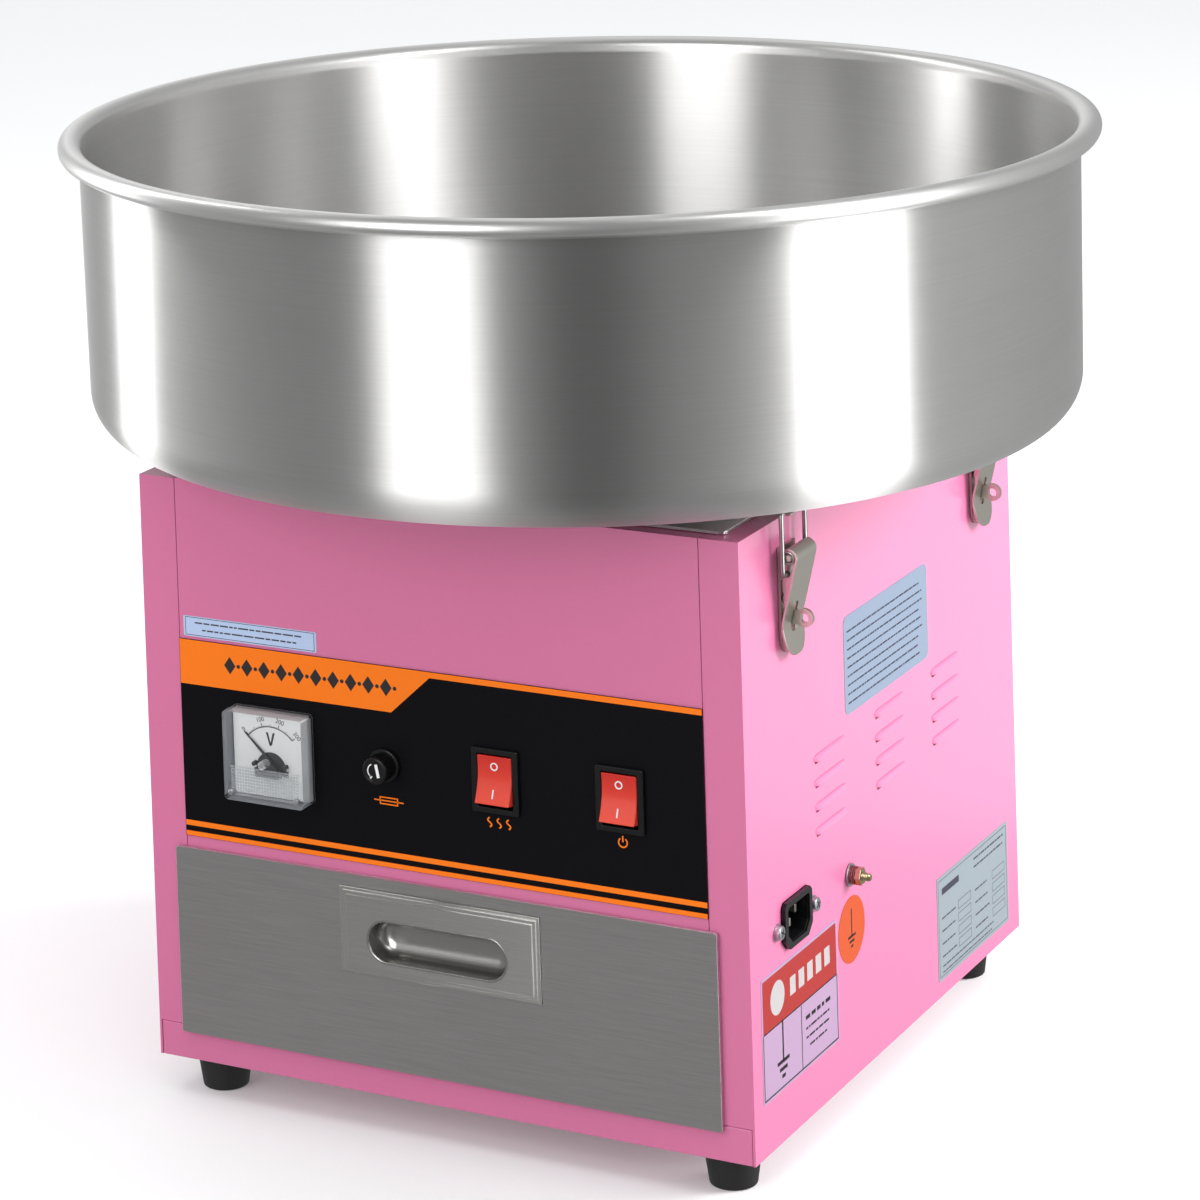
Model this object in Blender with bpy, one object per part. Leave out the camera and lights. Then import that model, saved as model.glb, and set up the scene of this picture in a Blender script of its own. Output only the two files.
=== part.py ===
"""Countertop cotton candy machine: a pink sheet-metal casing with a drawer, a control panel, four toggle
latches and a deep spun bowl round a motor-driven spinning head.

Frame: metres, +Z up, the front faces -Y. The origin is on the floor, under the middle of the machine.
Heights named in the comments as "above the casing's bottom" are turned into world heights by up().
"""

import math

import bmesh
import bpy
from mathutils import Matrix, Vector

MM = 0.001
GAP = 0.3 * MM
SHEET = 1.2 * MM

# Casing
BODY_WIDTH = 320 * MM
BODY_DEPTH = 336 * MM
BODY_HEIGHT = 290 * MM
SIDE = BODY_WIDTH / 2
FRONT = -BODY_DEPTH / 2
REAR = BODY_DEPTH / 2
FLANGE = 20 * MM
SEAM = 0.2 * MM
TRAY_LIP = 17 * MM
FRONT_PANEL_BOTTOM = 100 * MM
DECK_INSET = Vector((10 * MM, 8 * MM))
DECK_THICKNESS = 1.5 * MM
DECK_HOLE = 48 * MM

# Feet
FOOT_HEIGHT = 20 * MM
FOOT_TOP_RADIUS = 14.5 * MM
FOOT_BOTTOM_RADIUS = 11.4 * MM
FOOT_X = 137.5 * MM
FOOT_Y = 144 * MM

# Bowl, heights above the casing's bottom
RIM_RADIUS = 260 * MM
RIM_BEAD = 4.6 * MM
RIM_HEIGHT = 442.4 * MM
WALL_TOP_RADIUS = 249.7 * MM
WALL_BOTTOM_RADIUS = 248 * MM
BOWL_FLOOR = 300.7 * MM
BOWL_CORNER = 20 * MM
BOWL_SHEET = 1.2 * MM
BOWL_OPENING = 63 * MM
BOWL_COLLAR = 312 * MM
SEAL_RADIUS = 105 * MM
SEAL_WIDTH = 10 * MM

# Control panel, heights above the casing's bottom
OVERLAY_BOTTOM = 113 * MM
OVERLAY_TOP = 211 * MM
OVERLAY_THICKNESS = 0.5 * MM
CONTROL_FACE = 1.1 * MM
METER_X = -87.7 * MM
METER_Z = 160.7 * MM
METER_SIDE = 44 * MM
METER_DEPTH = 12 * MM
METER_WALL = 1.5 * MM
METER_STEM_RADIUS = 18 * MM
NEEDLE_DROP = 2.6 * MM
NEEDLE_LENGTH = 19 * MM
NEEDLE_HALF_SWEEP = math.radians(47.5)
FUSE_X = -26.5 * MM
FUSE_Z = 163.2 * MM
SWITCH_Z = 163.4 * MM
HEAT_SWITCH_X = 32.9 * MM
POWER_SWITCH_X = 97.6 * MM
SWITCH_BODY = Vector((20.6 * MM, 27.4 * MM))
ROCKER_TILT = math.radians(10)
ROCKER_PIVOT_DEPTH = 1 * MM
CUT_MARGIN = 0.6 * MM

# Right-hand side, heights above the casing's bottom
INLET_Y = -117 * MM
INLET_Z = 99.6 * MM
INLET_SHROUD = Vector((31 * MM, 22.5 * MM))
STUD_Y = -52 * MM
STUD_Z = 99 * MM
LOUVRE_LENGTH = 36 * MM
LOUVRE_SLOT = 2 * MM
LOUVRE_TOP = 164.5 * MM
LOUVRE_PITCH = 11.6 * MM
LOUVRE_ROWS = 4
LOUVRE_COLUMNS = (-72 * MM, 1.5 * MM, 74 * MM)

# Drawer, heights above the casing's bottom
DRAWER_FRONT_SIZE = Vector((290 * MM, 93 * MM))
DRAWER_FRONT_Z = 61.1 * MM
DRAWER_FRONT_THICKNESS = 2.5 * MM
DRAWER_BOX_WIDTH = 264 * MM
DRAWER_BOX_LENGTH = 286 * MM
DRAWER_BOX_BOTTOM = 18.6 * MM
DRAWER_BOX_TOP = 95 * MM
DRAWER_SHEET = 1 * MM
RUNNER_X = 105 * MM
RUNNER_WIDTH = 10 * MM
HANDLE_X = 1 * MM
HANDLE_Z = 81 * MM
HANDLE_SIZE = Vector((107 * MM, 41.5 * MM))
HANDLE_THICKNESS = 1.7 * MM
GRIP_Z = 77.9 * MM
GRIP_SIZE = Vector((74 * MM, 19.6 * MM))
GRIP_DEPTH = 13 * MM
GRIP_WALL = 1.5 * MM

# Latches: outward distance from the side panel and height above the casing's bottom
LATCH_FRONT_Y = -117 * MM
LATCH_REAR_Y = 122 * MM
LATCH_PIN = Vector((6.6 * MM, 273 * MM))
LATCH_PIN_RADIUS = 1.9 * MM
LATCH_ROLL = 4.1 * MM
LATCH_HALF_WIDTH = 11.3 * MM
LATCH_BASE_HALF_WIDTH = 9 * MM
LATCH_SHEET = 1.2 * MM
LEVER_EAR = 8.6 * MM
BASE_EAR = 7 * MM
BAIL_PIVOT = Vector((4.7 * MM, 265 * MM))
BAIL_TOP = Vector((4.7 * MM, 294.9 * MM))
BAIL_HALF_WIDTH = 13.2 * MM
BAIL_WIRE = 1.25 * MM
EYE_CENTRE = Vector((9.4 * MM, 242.8 * MM))
EYE_RADIUS = 4.4 * MM

ROUND_STEPS = 32
BOWL_STEPS = 48
SMALL_STEPS = 20


# ---------------------------------------------------------------- modelling helpers


def up(height):
    """World height of a height above the casing's bottom."""
    return FOOT_HEIGHT + height


def clear_scene():
    for obj in list(bpy.data.objects):
        bpy.data.objects.remove(obj, do_unlink=True)


def material(name, colour, roughness, metallic=0.0, alpha=1.0):
    made = bpy.data.materials.new(name)
    made.use_nodes = True
    shader = made.node_tree.nodes["Principled BSDF"]
    shader.inputs["Base Color"].default_value = (*colour, 1.0)
    shader.inputs["Roughness"].default_value = roughness
    shader.inputs["Metallic"].default_value = metallic
    shader.inputs["Alpha"].default_value = alpha
    return made


def object_from(bm, name="shape"):
    """An object of the closed surface in bm, with its faces turned outwards."""
    bmesh.ops.recalc_face_normals(bm, faces=bm.faces)
    mesh = bpy.data.meshes.new(name)
    bm.to_mesh(mesh)
    bm.free()
    obj = bpy.data.objects.new(name, mesh)
    bpy.context.scene.collection.objects.link(obj)
    return obj


def box(low, high):
    """A block between two corners."""
    bm = bmesh.new()
    low, high = Vector(low), Vector(high)
    size = Matrix.Diagonal((*(high - low), 1.0))
    place = Matrix.Translation((low + high) / 2) @ size
    bmesh.ops.create_cube(bm, size=1.0, matrix=place)
    return object_from(bm)


AXIS_POINTS = {
    "X": lambda a, b, c: (c, a, b),
    "Y": lambda a, b, c: (a, c, b),
    "Z": lambda a, b, c: (a, b, c),
}


def prism(outline, axis, start, end):
    """An outline extruded along an axis. Its points are (y, z), (x, z) or (x, y) for X, Y or Z."""
    bm = bmesh.new()
    place = AXIS_POINTS[axis]
    verts = [bm.verts.new(place(a, b, start)) for a, b in outline]
    face = bm.faces.new(verts)
    moved = bmesh.ops.extrude_face_region(bm, geom=[face])
    tops = [item for item in moved["geom"] if isinstance(item, bmesh.types.BMVert)]
    bmesh.ops.translate(bm, verts=tops, vec=Vector(place(0, 0, end)) - Vector(place(0, 0, start)))
    return object_from(bm)


def turned(profile, steps=ROUND_STEPS):
    """A (radius, height) profile spun about Z: closed round, or open between two points on the axis."""
    bm = bmesh.new()
    verts = [bm.verts.new((radius, 0, height)) for radius, height in profile]
    edges = [bm.edges.new(pair) for pair in zip(verts, verts[1:])]
    if profile[0][0] > 0:
        edges.append(bm.edges.new((verts[-1], verts[0])))
    bmesh.ops.spin(
        bm,
        geom=verts + edges,
        cent=(0, 0, 0),
        axis=(0, 0, 1),
        angle=math.tau,
        steps=steps,
        use_merge=True,
    )
    bmesh.ops.remove_doubles(bm, verts=bm.verts, dist=1e-7)
    return object_from(bm)


def wire(points, radius, name="wire"):
    """A round wire along points, as a curve with filled ends."""
    curve = bpy.data.curves.new(name, "CURVE")
    curve.dimensions = "3D"
    curve.bevel_depth = radius
    curve.bevel_resolution = 2
    curve.use_fill_caps = True
    spline = curve.splines.new("POLY")
    spline.points.add(len(points) - 1)
    for place, point in zip(spline.points, points):
        place.co = (*point, 1.0)
    return curve


def applied(obj):
    """Replaces the object's mesh by its evaluated one and drops the modifiers."""
    graph = bpy.context.evaluated_depsgraph_get()
    graph.update()
    mesh = bpy.data.meshes.new_from_object(obj.evaluated_get(graph))
    obj.modifiers.clear()
    obj.data = mesh
    return obj


def combined(obj, operation, others):
    """Runs a Boolean with each other object, which is then removed."""
    for other in others:
        modifier = obj.modifiers.new(operation, "BOOLEAN")
        modifier.operation = operation
        modifier.solver = "EXACT"
        modifier.object = other
    applied(obj)
    for other in others:
        bpy.data.objects.remove(other, do_unlink=True)
    return obj


def union(first, *others):
    return combined(first, "UNION", others)


def cut(obj, *cutters):
    return combined(obj, "DIFFERENCE", cutters)


def moved(obj, matrix):
    obj.data.transform(matrix)
    return obj


def finished(obj, name, look, smooth=False):
    """Names the object, gives it its material and shades round pieces smooth."""
    obj.name = name
    obj.data.name = name
    obj.data.materials.clear()
    obj.data.materials.append(look)
    if smooth:
        obj.data.shade_smooth()
        obj.data.set_sharp_from_angle(angle=math.radians(35))
    return obj


def pivot(name, place, parent=None, turn=0.0):
    """An empty that marks a joint or a sub-assembly's frame."""
    empty = bpy.data.objects.new(name, None)
    empty.empty_display_size = 10 * MM
    empty.parent = parent
    empty.location = place
    empty.rotation_euler = (0, 0, turn)
    bpy.context.scene.collection.objects.link(empty)
    return empty


def hang(obj, parent, offset=(0, 0, 0)):
    """Parents an object built round the parent's origin, or shifts one built in the parent's space by offset."""
    obj.data.transform(Matrix.Translation(-Vector(offset)))
    obj.parent = parent
    obj.location = (0, 0, 0)
    return obj


def arc(centre, radius, start, end, steps):
    """Points on an arc, with angles in degrees."""
    angles = [math.radians(start + (end - start) * i / steps) for i in range(steps + 1)]
    return [(centre[0] + radius * math.cos(a), centre[1] + radius * math.sin(a)) for a in angles]


def circle(centre, radius, steps=SMALL_STEPS):
    return arc(centre, radius, 0, 360, steps)[:-1]


def rectangle(centre, size):
    x, y = size[0] / 2, size[1] / 2
    return [(centre[0] + a * x, centre[1] + b * y) for a, b in ((-1, -1), (1, -1), (1, 1), (-1, 1))]


def rounded(centre, size, radius, steps=4):
    """A rectangle with round corners."""
    x, y = size[0] / 2 - radius, size[1] / 2 - radius
    points = []
    for i, (a, b) in enumerate(((1, 1), (-1, 1), (-1, -1), (1, -1))):
        corner = (centre[0] + a * x, centre[1] + b * y)
        points += arc(corner, radius, 90 * i, 90 * i + 90, steps)
    return points


def stadium(centre, size, steps=6):
    """A slot outline with half-round ends."""
    reach, radius = (size[0] - size[1]) / 2, size[1] / 2
    right = arc((centre[0] + reach, centre[1]), radius, -90, 90, steps)
    left = arc((centre[0] - reach, centre[1]), radius, 90, 270, steps)
    return right + left


def chamfered(centre, size, top, bottom):
    """A rectangle with its upper and lower corners cut off by the given lengths."""
    x, y = size[0] / 2, size[1] / 2
    points = [(x, -y + bottom), (x, y - top), (x - top, y), (-x + top, y), (-x, y - top)]
    points += [(-x, -y + bottom), (-x + bottom, -y), (x - bottom, -y)]
    return [(centre[0] + a, centre[1] + b) for a, b in points]


def sheet_outline(path, thickness):
    """The closed outline of a sheet whose middle follows the path."""
    points = [Vector(p) for p in path]
    sides = ([], [])
    for i, point in enumerate(points):
        before = (point - points[i - 1]).normalized() if i else None
        after = (points[i + 1] - point).normalized() if i + 1 < len(points) else None
        along = [d for d in (before, after) if d]
        normals = [Vector((-d.y, d.x)) for d in along]
        normal = sum(normals, Vector((0, 0))).normalized()
        reach = thickness / 2 / normal.dot(normals[0])
        sides[0].append(tuple(point + normal * reach))
        sides[1].append(tuple(point - normal * reach))
    return sides[0] + sides[1][::-1]


def rounded_path(points, radius, steps=3):
    """A 3D polyline with its inner corners replaced by curved ones."""
    points = [Vector(p) for p in points]
    path = [points[0]]
    for before, corner, after in zip(points, points[1:], points[2:]):
        start = corner + (before - corner).normalized() * radius
        end = corner + (after - corner).normalized() * radius
        for i in range(steps + 1):
            t = i / steps
            path.append(start * (1 - t) ** 2 + corner * 2 * t * (1 - t) + end * t**2)
    return path + [points[-1]]


# ---------------------------------------------------------------- casing


def side_panel():
    """The right-hand side: a wall with a flange turned in at the front, the rear and the top."""
    inner = SIDE - FLANGE + SEAM
    bottom = up(TRAY_LIP + GAP)
    top = up(BODY_HEIGHT)
    wall = box((SIDE - SHEET, FRONT, up(0)), (SIDE, REAR, top))
    front = box((inner, FRONT, bottom), (SIDE - SHEET / 2, FRONT + SHEET, top))
    rear = box((inner, REAR - SHEET, bottom), (SIDE - SHEET / 2, REAR, top))
    over = box((inner, FRONT, top - SHEET), (SIDE - SHEET / 2, REAR, top))
    panel = union(wall, front, rear, over)
    return cut(panel, *louvre_slots())


def louvre_slots():
    slots = []
    for y in LOUVRE_COLUMNS:
        for row in range(LOUVRE_ROWS):
            z = up(LOUVRE_TOP - row * LOUVRE_PITCH)
            low = (SIDE - 3 * SHEET, y - LOUVRE_LENGTH / 2, z - LOUVRE_SLOT / 2)
            high = (SIDE + SHEET, y + LOUVRE_LENGTH / 2, z + LOUVRE_SLOT / 2)
            slots.append(box(low, high))
    return slots


def side_panels(paint):
    left = moved(side_panel(), Matrix.Scale(-1, 4, (1, 0, 0)))
    left.data.flip_normals()
    finished(left, "left_side_panel", paint)
    size = INLET_SHROUD + Vector((1, 1)) * CUT_MARGIN
    inlet = prism(chamfered((INLET_Y, up(INLET_Z)), size, 2 * MM, 5 * MM), "X", SIDE - 3 * SHEET, SIDE + SHEET)
    stud = prism(circle((STUD_Y, up(STUD_Z)), 2.6 * MM), "X", SIDE - 3 * SHEET, SIDE + SHEET)
    finished(cut(side_panel(), inlet, stud), "right_side_panel", paint)


def control_holes(start, end):
    """Cutters for the meter, the fuse holder and the two switches."""
    meter = prism(circle((METER_X, up(METER_Z)), METER_STEM_RADIUS + CUT_MARGIN), "Y", start, end)
    fuse = prism(circle((FUSE_X, up(FUSE_Z)), 6.4 * MM), "Y", start, end)
    size = SWITCH_BODY + Vector((1, 1)) * CUT_MARGIN
    switches = [
        prism(rectangle((x, up(SWITCH_Z)), size), "Y", start, end)
        for x in (HEAT_SWITCH_X, POWER_SWITCH_X)
    ]
    return [meter, fuse, *switches]


def front_panel(paint):
    half = SIDE - FLANGE - SEAM
    bottom, top = up(FRONT_PANEL_BOTTOM), up(BODY_HEIGHT)
    face = box((-half, FRONT, bottom), (half, FRONT + SHEET, top))
    over = box((-half, FRONT + SHEET / 2, top - SHEET), (half, FRONT + 28 * MM, top))
    under = box((-half, FRONT + SHEET / 2, bottom), (half, FRONT + 15 * MM, bottom + SHEET))
    panel = union(face, over, under)
    cut(panel, *control_holes(FRONT - SHEET, FRONT + 3 * SHEET))
    finished(panel, "front_panel", paint)


def rear_panel(paint):
    half = SIDE - FLANGE - SEAM
    bottom, top = up(TRAY_LIP + GAP), up(BODY_HEIGHT)
    face = box((-half, REAR - SHEET, bottom), (half, REAR, top))
    over = box((-half, REAR - 28 * MM, top - SHEET), (half, REAR - SHEET / 2, top))
    finished(union(face, over), "rear_panel", paint)


def base_tray(paint):
    """The bottom pan, with the two runners that carry the drawer."""
    half = SIDE - SHEET - GAP
    pan = box((-half, FRONT, up(0)), (half, REAR, up(TRAY_LIP)))
    low = (-half + SHEET, FRONT + SHEET, up(SHEET))
    high = (half - SHEET, REAR - SHEET, up(TRAY_LIP) + SHEET)
    cut(pan, box(low, high))
    runners = [
        box(
            (x - RUNNER_WIDTH / 2, FRONT + 12 * MM, up(SHEET / 2)),
            (x + RUNNER_WIDTH / 2, REAR - 50 * MM, up(DRAWER_BOX_BOTTOM - 2 * GAP)),
        )
        for x in (-RUNNER_X, RUNNER_X)
    ]
    finished(union(pan, *runners), "base_tray", paint)


def deck_plate(steel):
    x, y = SIDE - DECK_INSET.x, REAR - DECK_INSET.y
    bottom = up(BODY_HEIGHT + GAP)
    outline = rounded((0, 0), (2 * x, 2 * y), 3 * MM, 2)
    plate = prism(outline, "Z", bottom, bottom + DECK_THICKNESS)
    hole = prism(circle((0, 0), DECK_HOLE, ROUND_STEPS), "Z", bottom - SHEET, bottom + 3 * SHEET)
    finished(cut(plate, hole), "deck_plate", steel)


def feet(rubber):
    bottom, top = FOOT_BOTTOM_RADIUS, FOOT_TOP_RADIUS
    high = FOOT_HEIGHT - GAP
    profile = [(0, 0), (bottom - 1 * MM, 0), (bottom, 1 * MM), (top, high), (0, high)]
    sides = {"left": -FOOT_X, "right": FOOT_X}
    rows = {"front": -FOOT_Y, "rear": FOOT_Y}
    for row, y in rows.items():
        for side, x in sides.items():
            foot = finished(turned(profile, SMALL_STEPS), f"foot_{row}_{side}", rubber, smooth=True)
            foot.location = (x, y, 0)


# ---------------------------------------------------------------- bowl


def bowl_path():
    """The middle of the bowl's sheet: collar, floor, corner, wall and rolled rim."""
    half = BOWL_SHEET / 2
    floor = BOWL_FLOOR + half
    wall = WALL_BOTTOM_RADIUS - half
    corner = (wall - BOWL_CORNER, floor + BOWL_CORNER)
    bead = (RIM_RADIUS - RIM_BEAD, RIM_HEIGHT)
    path = [(BOWL_OPENING, BOWL_COLLAR), (BOWL_OPENING, floor + 3 * MM), (BOWL_OPENING + 3 * MM, floor)]
    path += arc(corner, BOWL_CORNER, -90, 0, 4)
    path += [(WALL_TOP_RADIUS - half, RIM_HEIGHT - 1.4 * RIM_BEAD)]
    path += arc(bead, RIM_BEAD - half, 195, -120, 8)
    return [(radius, up(height)) for radius, height in path]


def bowl(steel):
    outline = sheet_outline(bowl_path(), BOWL_SHEET)
    finished(turned(outline, BOWL_STEPS), "bowl", steel, smooth=True)


def bowl_seal(rubber):
    low = up(BODY_HEIGHT + DECK_THICKNESS + 2 * GAP)
    high = up(BOWL_FLOOR - GAP)
    inner, outer = SEAL_RADIUS - SEAL_WIDTH / 2, SEAL_RADIUS + SEAL_WIDTH / 2
    profile = [(inner, low), (outer, low), (outer, high), (inner, high)]
    finished(turned(profile), "bowl_seal", rubber, smooth=True)


# ---------------------------------------------------------------- latches

# Built in a frame whose X points out of the side panel and whose origin is at the casing's bottom.


def latch_base_shape():
    """Back plate with two ears for the pin and the padlock eye."""
    half = LATCH_BASE_HALF_WIDTH
    plate_outline = [(-half, 277 * MM)] + arc((0, 235 * MM), half, 180, 360, 6) + [(half, 277 * MM)]
    plate = prism(plate_outline, "X", GAP, GAP + LATCH_SHEET)
    ears = []
    for side in (-1, 1):
        root = 1 * MM
        ear_outline = [(root, 271 * MM), (root, 256 * MM), (2.2 * MM, 256 * MM)]
        ear_outline += arc(LATCH_PIN, 3.1 * MM, -35, 200, 8)
        ears.append(prism(ear_outline, "Y", side * (BASE_EAR - LATCH_SHEET), side * BASE_EAR))
    reach = EYE_CENTRE.x - 1 * MM
    stem_centre = (1 * MM + reach / 2, EYE_CENTRE.y)
    stem = prism(rectangle(stem_centre, (reach, 6.6 * MM)), "Y", -1.1 * MM, 1.1 * MM)
    ring = prism(circle(EYE_CENTRE, EYE_RADIUS, 16), "Y", -1.1 * MM, 1.1 * MM)
    union(plate, *ears, stem, ring)
    pin_hole = prism(circle(LATCH_PIN, LATCH_PIN_RADIUS + GAP, 12), "Y", -12 * MM, 12 * MM)
    eye_hole = prism(circle(EYE_CENTRE, 2.3 * MM, 12), "Y", -3 * MM, 3 * MM)
    return cut(plate, pin_hole, eye_hole)


def latch_pin_shape():
    reach = LATCH_HALF_WIDTH - 0.4 * MM
    return prism(circle(LATCH_PIN, LATCH_PIN_RADIUS, 12), "Y", -reach, reach)


def latch_lever_shape():
    """A plate whose top rolls over the pin, with two ears; its lower end bends out as a thumb tab."""
    path = arc(LATCH_PIN, LATCH_ROLL, 92, -10, 4)
    path += [(2.8 * MM, 241 * MM), (2.8 * MM, 237 * MM), (5.2 * MM, 225.3 * MM)]
    width = LATCH_HALF_WIDTH
    plate = prism(sheet_outline(path, LATCH_SHEET), "Y", -width, width)
    tongue = [(-width, 280 * MM)] + arc((0, 236.3 * MM), width, 180, 360, 8) + [(width, 280 * MM)]
    combined(plate, "INTERSECT", [prism(tongue, "X", 0, 20 * MM)])
    ears = []
    for side in (-1, 1):
        ear_outline = [(3 * MM, 242 * MM)] + arc(LATCH_PIN, LATCH_ROLL, -10, 150, 6)
        ear_outline += [(2.3 * MM, 270 * MM), (2.3 * MM, 260 * MM)]
        ears.append(prism(ear_outline, "Y", side * LEVER_EAR, side * (LEVER_EAR - LATCH_SHEET)))
    union(plate, *ears)
    slot = prism(rectangle((0, 243.2 * MM), (4.8 * MM, 14 * MM)), "X", 0, 20 * MM)
    pin_hole = prism(circle(LATCH_PIN, LATCH_PIN_RADIUS + GAP, 12), "Y", -12 * MM, 12 * MM)
    bail_hole = prism(circle(BAIL_PIVOT, BAIL_WIRE + GAP, 12), "Y", -12 * MM, 12 * MM)
    return cut(plate, slot, pin_hole, bail_hole)


def latch_bail_curve():
    """The wire loop, drawn from its own pivot: two legs whose ends turn into the lever's ears."""
    top = BAIL_TOP - BAIL_PIVOT
    inner, outer = BASE_EAR + GAP, BAIL_HALF_WIDTH
    corners = [(0, -inner, 0), (0, -outer, 0), (top.x, -outer, top.y)]
    corners += [(top.x, outer, top.y), (0, outer, 0), (0, inner, 0)]
    return wire(rounded_path(corners, 2.8 * MM), BAIL_WIRE)


def bowl_hook_shape():
    """A bent strap under the bowl's floor; its ledge carries the bail's top bar."""
    top = BOWL_FLOOR - GAP
    ledge = BAIL_TOP.y - BAIL_WIRE - 0.4 * MM
    web_in, web_out = 1 * MM, 1 * MM + SHEET
    lip = 6.9 * MM
    outline = [(-16 * MM, top), (-16 * MM, top - SHEET), (web_in, top - SHEET), (web_in, ledge - SHEET)]
    outline += [(lip, ledge - SHEET), (lip, ledge), (web_out, ledge), (web_out, top)]
    return prism(outline, "Y", -8 * MM, 8 * MM)


def latches(nickel, wire_steel):
    """Four identical latches. The left-hand ones are turned half round about Z."""
    shapes = {
        "latch_base": finished(latch_base_shape(), "base_shape", nickel),
        "latch_pin": finished(latch_pin_shape(), "pin_shape", nickel),
        "latch_lever": finished(latch_lever_shape(), "lever_shape", nickel),
        "bowl_hook": finished(bowl_hook_shape(), "hook_shape", nickel),
    }
    pin = Vector((LATCH_PIN.x, 0, LATCH_PIN.y))
    bail_pivot = Vector((BAIL_PIVOT.x, 0, BAIL_PIVOT.y))
    shapes["latch_lever"].data.transform(Matrix.Translation(-pin))
    bail = latch_bail_curve()
    bail.materials.append(wire_steel)
    for row, y in (("front", LATCH_FRONT_Y), ("rear", LATCH_REAR_Y)):
        for side, sign in (("right", 1), ("left", -1)):
            place = f"{row}_{side}"
            turn = 0.0 if sign > 0 else math.pi
            frame = pivot(f"latch_frame_{place}", (sign * SIDE, y, up(0)), turn=turn)
            lever_axis = pivot(f"lever_axis_{place}", pin, frame)
            bail_axis = pivot(f"bail_axis_{place}", bail_pivot - pin, lever_axis)
            for kind, parent in (
                ("latch_base", frame),
                ("latch_pin", frame),
                ("bowl_hook", frame),
                ("latch_lever", lever_axis),
            ):
                placed_copy(f"{kind}_{place}", shapes[kind].data, parent)
            placed_copy(f"latch_bail_{place}", bail, bail_axis)
    for shape in shapes.values():
        bpy.data.objects.remove(shape, do_unlink=True)


def placed_copy(name, data, parent):
    """A new object that shares its mesh or curve with others, at the parent's origin."""
    copy = bpy.data.objects.new(name, data)
    copy.parent = parent
    bpy.context.scene.collection.objects.link(copy)
    return copy


# ---------------------------------------------------------------- control panel

# A control is built standing on Z = 0, which is the front panel's outer face, and then laid on the panel.


def on_front(x, z):
    """Turns a shape's +Z out of the front panel and its +Y upwards, and moves it to (x, z)."""
    return Matrix.Translation((x, FRONT, up(z))) @ Matrix.Rotation(math.pi / 2, 4, "X")


def on_side(y, z):
    """Turns a shape's +Z out of the right-hand panel and its +Y upwards, and moves it to (y, z)."""
    turn = Matrix(((0, 0, 1, 0), (1, 0, 0, 0), (0, 1, 0, 0), (0, 0, 0, 1)))
    return Matrix.Translation((SIDE, y, up(z))) @ turn


def control_overlay(film):
    near = FRONT - GAP
    half = SIDE - FLANGE
    sheet = box((-half, near - OVERLAY_THICKNESS, up(OVERLAY_BOTTOM)), (half, near, up(OVERLAY_TOP)))
    cut(sheet, *control_holes(near - 3 * SHEET, near + SHEET))
    finished(sheet, "control_overlay", film)


def meter(clear, dial, ink):
    low, high = CONTROL_FACE, CONTROL_FACE + METER_DEPTH
    outer = (METER_SIDE, METER_SIDE)
    inner = (METER_SIDE - 2 * METER_WALL, METER_SIDE - 2 * METER_WALL)
    cover = prism(rounded((0, 0), outer, 1.5 * MM, 2), "Z", low, high)
    cut(cover, prism(rounded((0, 0), inner, 1 * MM, 2), "Z", low - SHEET, high - METER_WALL))
    place = on_front(METER_X, METER_Z)
    finished(moved(cover, place), "meter_cover", clear)
    plate_size = (inner[0] - 0.8 * MM, inner[1] - 0.8 * MM)
    plate = prism(rectangle((0, 0), plate_size), "Z", low + GAP, low + 2 * MM)
    stem = prism(circle((0, 0), METER_STEM_RADIUS, 32), "Z", -28 * MM, low + 1 * MM)
    finished(moved(union(plate, stem), place), "meter_body", dial)
    needle(ink, low + 4.2 * MM)


def needle(ink, height):
    """The pointer, at rest on the scale's left-hand end."""
    outline = [(0, -5 * MM), (0.8 * MM, 0), (0.2 * MM, NEEDLE_LENGTH), (-0.2 * MM, NEEDLE_LENGTH), (-0.8 * MM, 0)]
    blade = prism(outline, "Z", height, height + 0.5 * MM)
    moved(blade, Matrix.Rotation(math.pi / 2, 4, "X") @ Matrix.Rotation(NEEDLE_HALF_SWEEP, 4, "Z"))
    finished(blade, "meter_needle", ink)
    hang(blade, pivot("needle_axis", (METER_X, FRONT, up(METER_Z - NEEDLE_DROP))))


def fuse(plastic, glass):
    """Holder with a flange, a turning cap and the glass fuse that comes out with it."""
    holder = [(0, -28), (6, -28), (6, 1.1), (8, 1.1), (8, 3), (7.4, 3.5), (4.6, 3.5), (4.6, -26), (0, -26)]
    cap = [(0, -4), (4.2, -4), (4.2, 3.8), (6.3, 3.8), (6.3, 12), (5.7, 12.6), (0, 12.6)]
    link = [(0, -24.4), (2.5, -24.4), (2.5, -4.4), (0, -4.4)]
    tilt = Matrix.Rotation(math.pi / 2, 4, "X")
    slide = pivot("fuse_axis", (FUSE_X, FRONT, up(FUSE_Z)))
    for name, profile, look in (
        ("fuse_holder", holder, plastic),
        ("fuse_cap", cap, plastic),
        ("fuse_link", link, glass),
    ):
        shape = turned([(r * MM, h * MM) for r, h in profile], SMALL_STEPS)
        hang(finished(moved(shape, tilt), name, look, smooth=True), slide)


def switch_frame(x, name, plastic):
    """A flange round a deep body with an opening for the rocker."""
    flange = prism(rounded((0, 0), (24.5 * MM, 30.8 * MM), 1 * MM, 2), "Z", CONTROL_FACE, 3 * MM)
    body = prism(rectangle((0, 0), SWITCH_BODY), "Z", -22 * MM, 2 * MM)
    frame = union(flange, body)
    cut(frame, prism(rectangle((0, 0), (18.4 * MM, 25.6 * MM)), "Z", -14 * MM, 5 * MM))
    finished(moved(frame, on_front(x, SWITCH_Z)), name, plastic)


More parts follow.
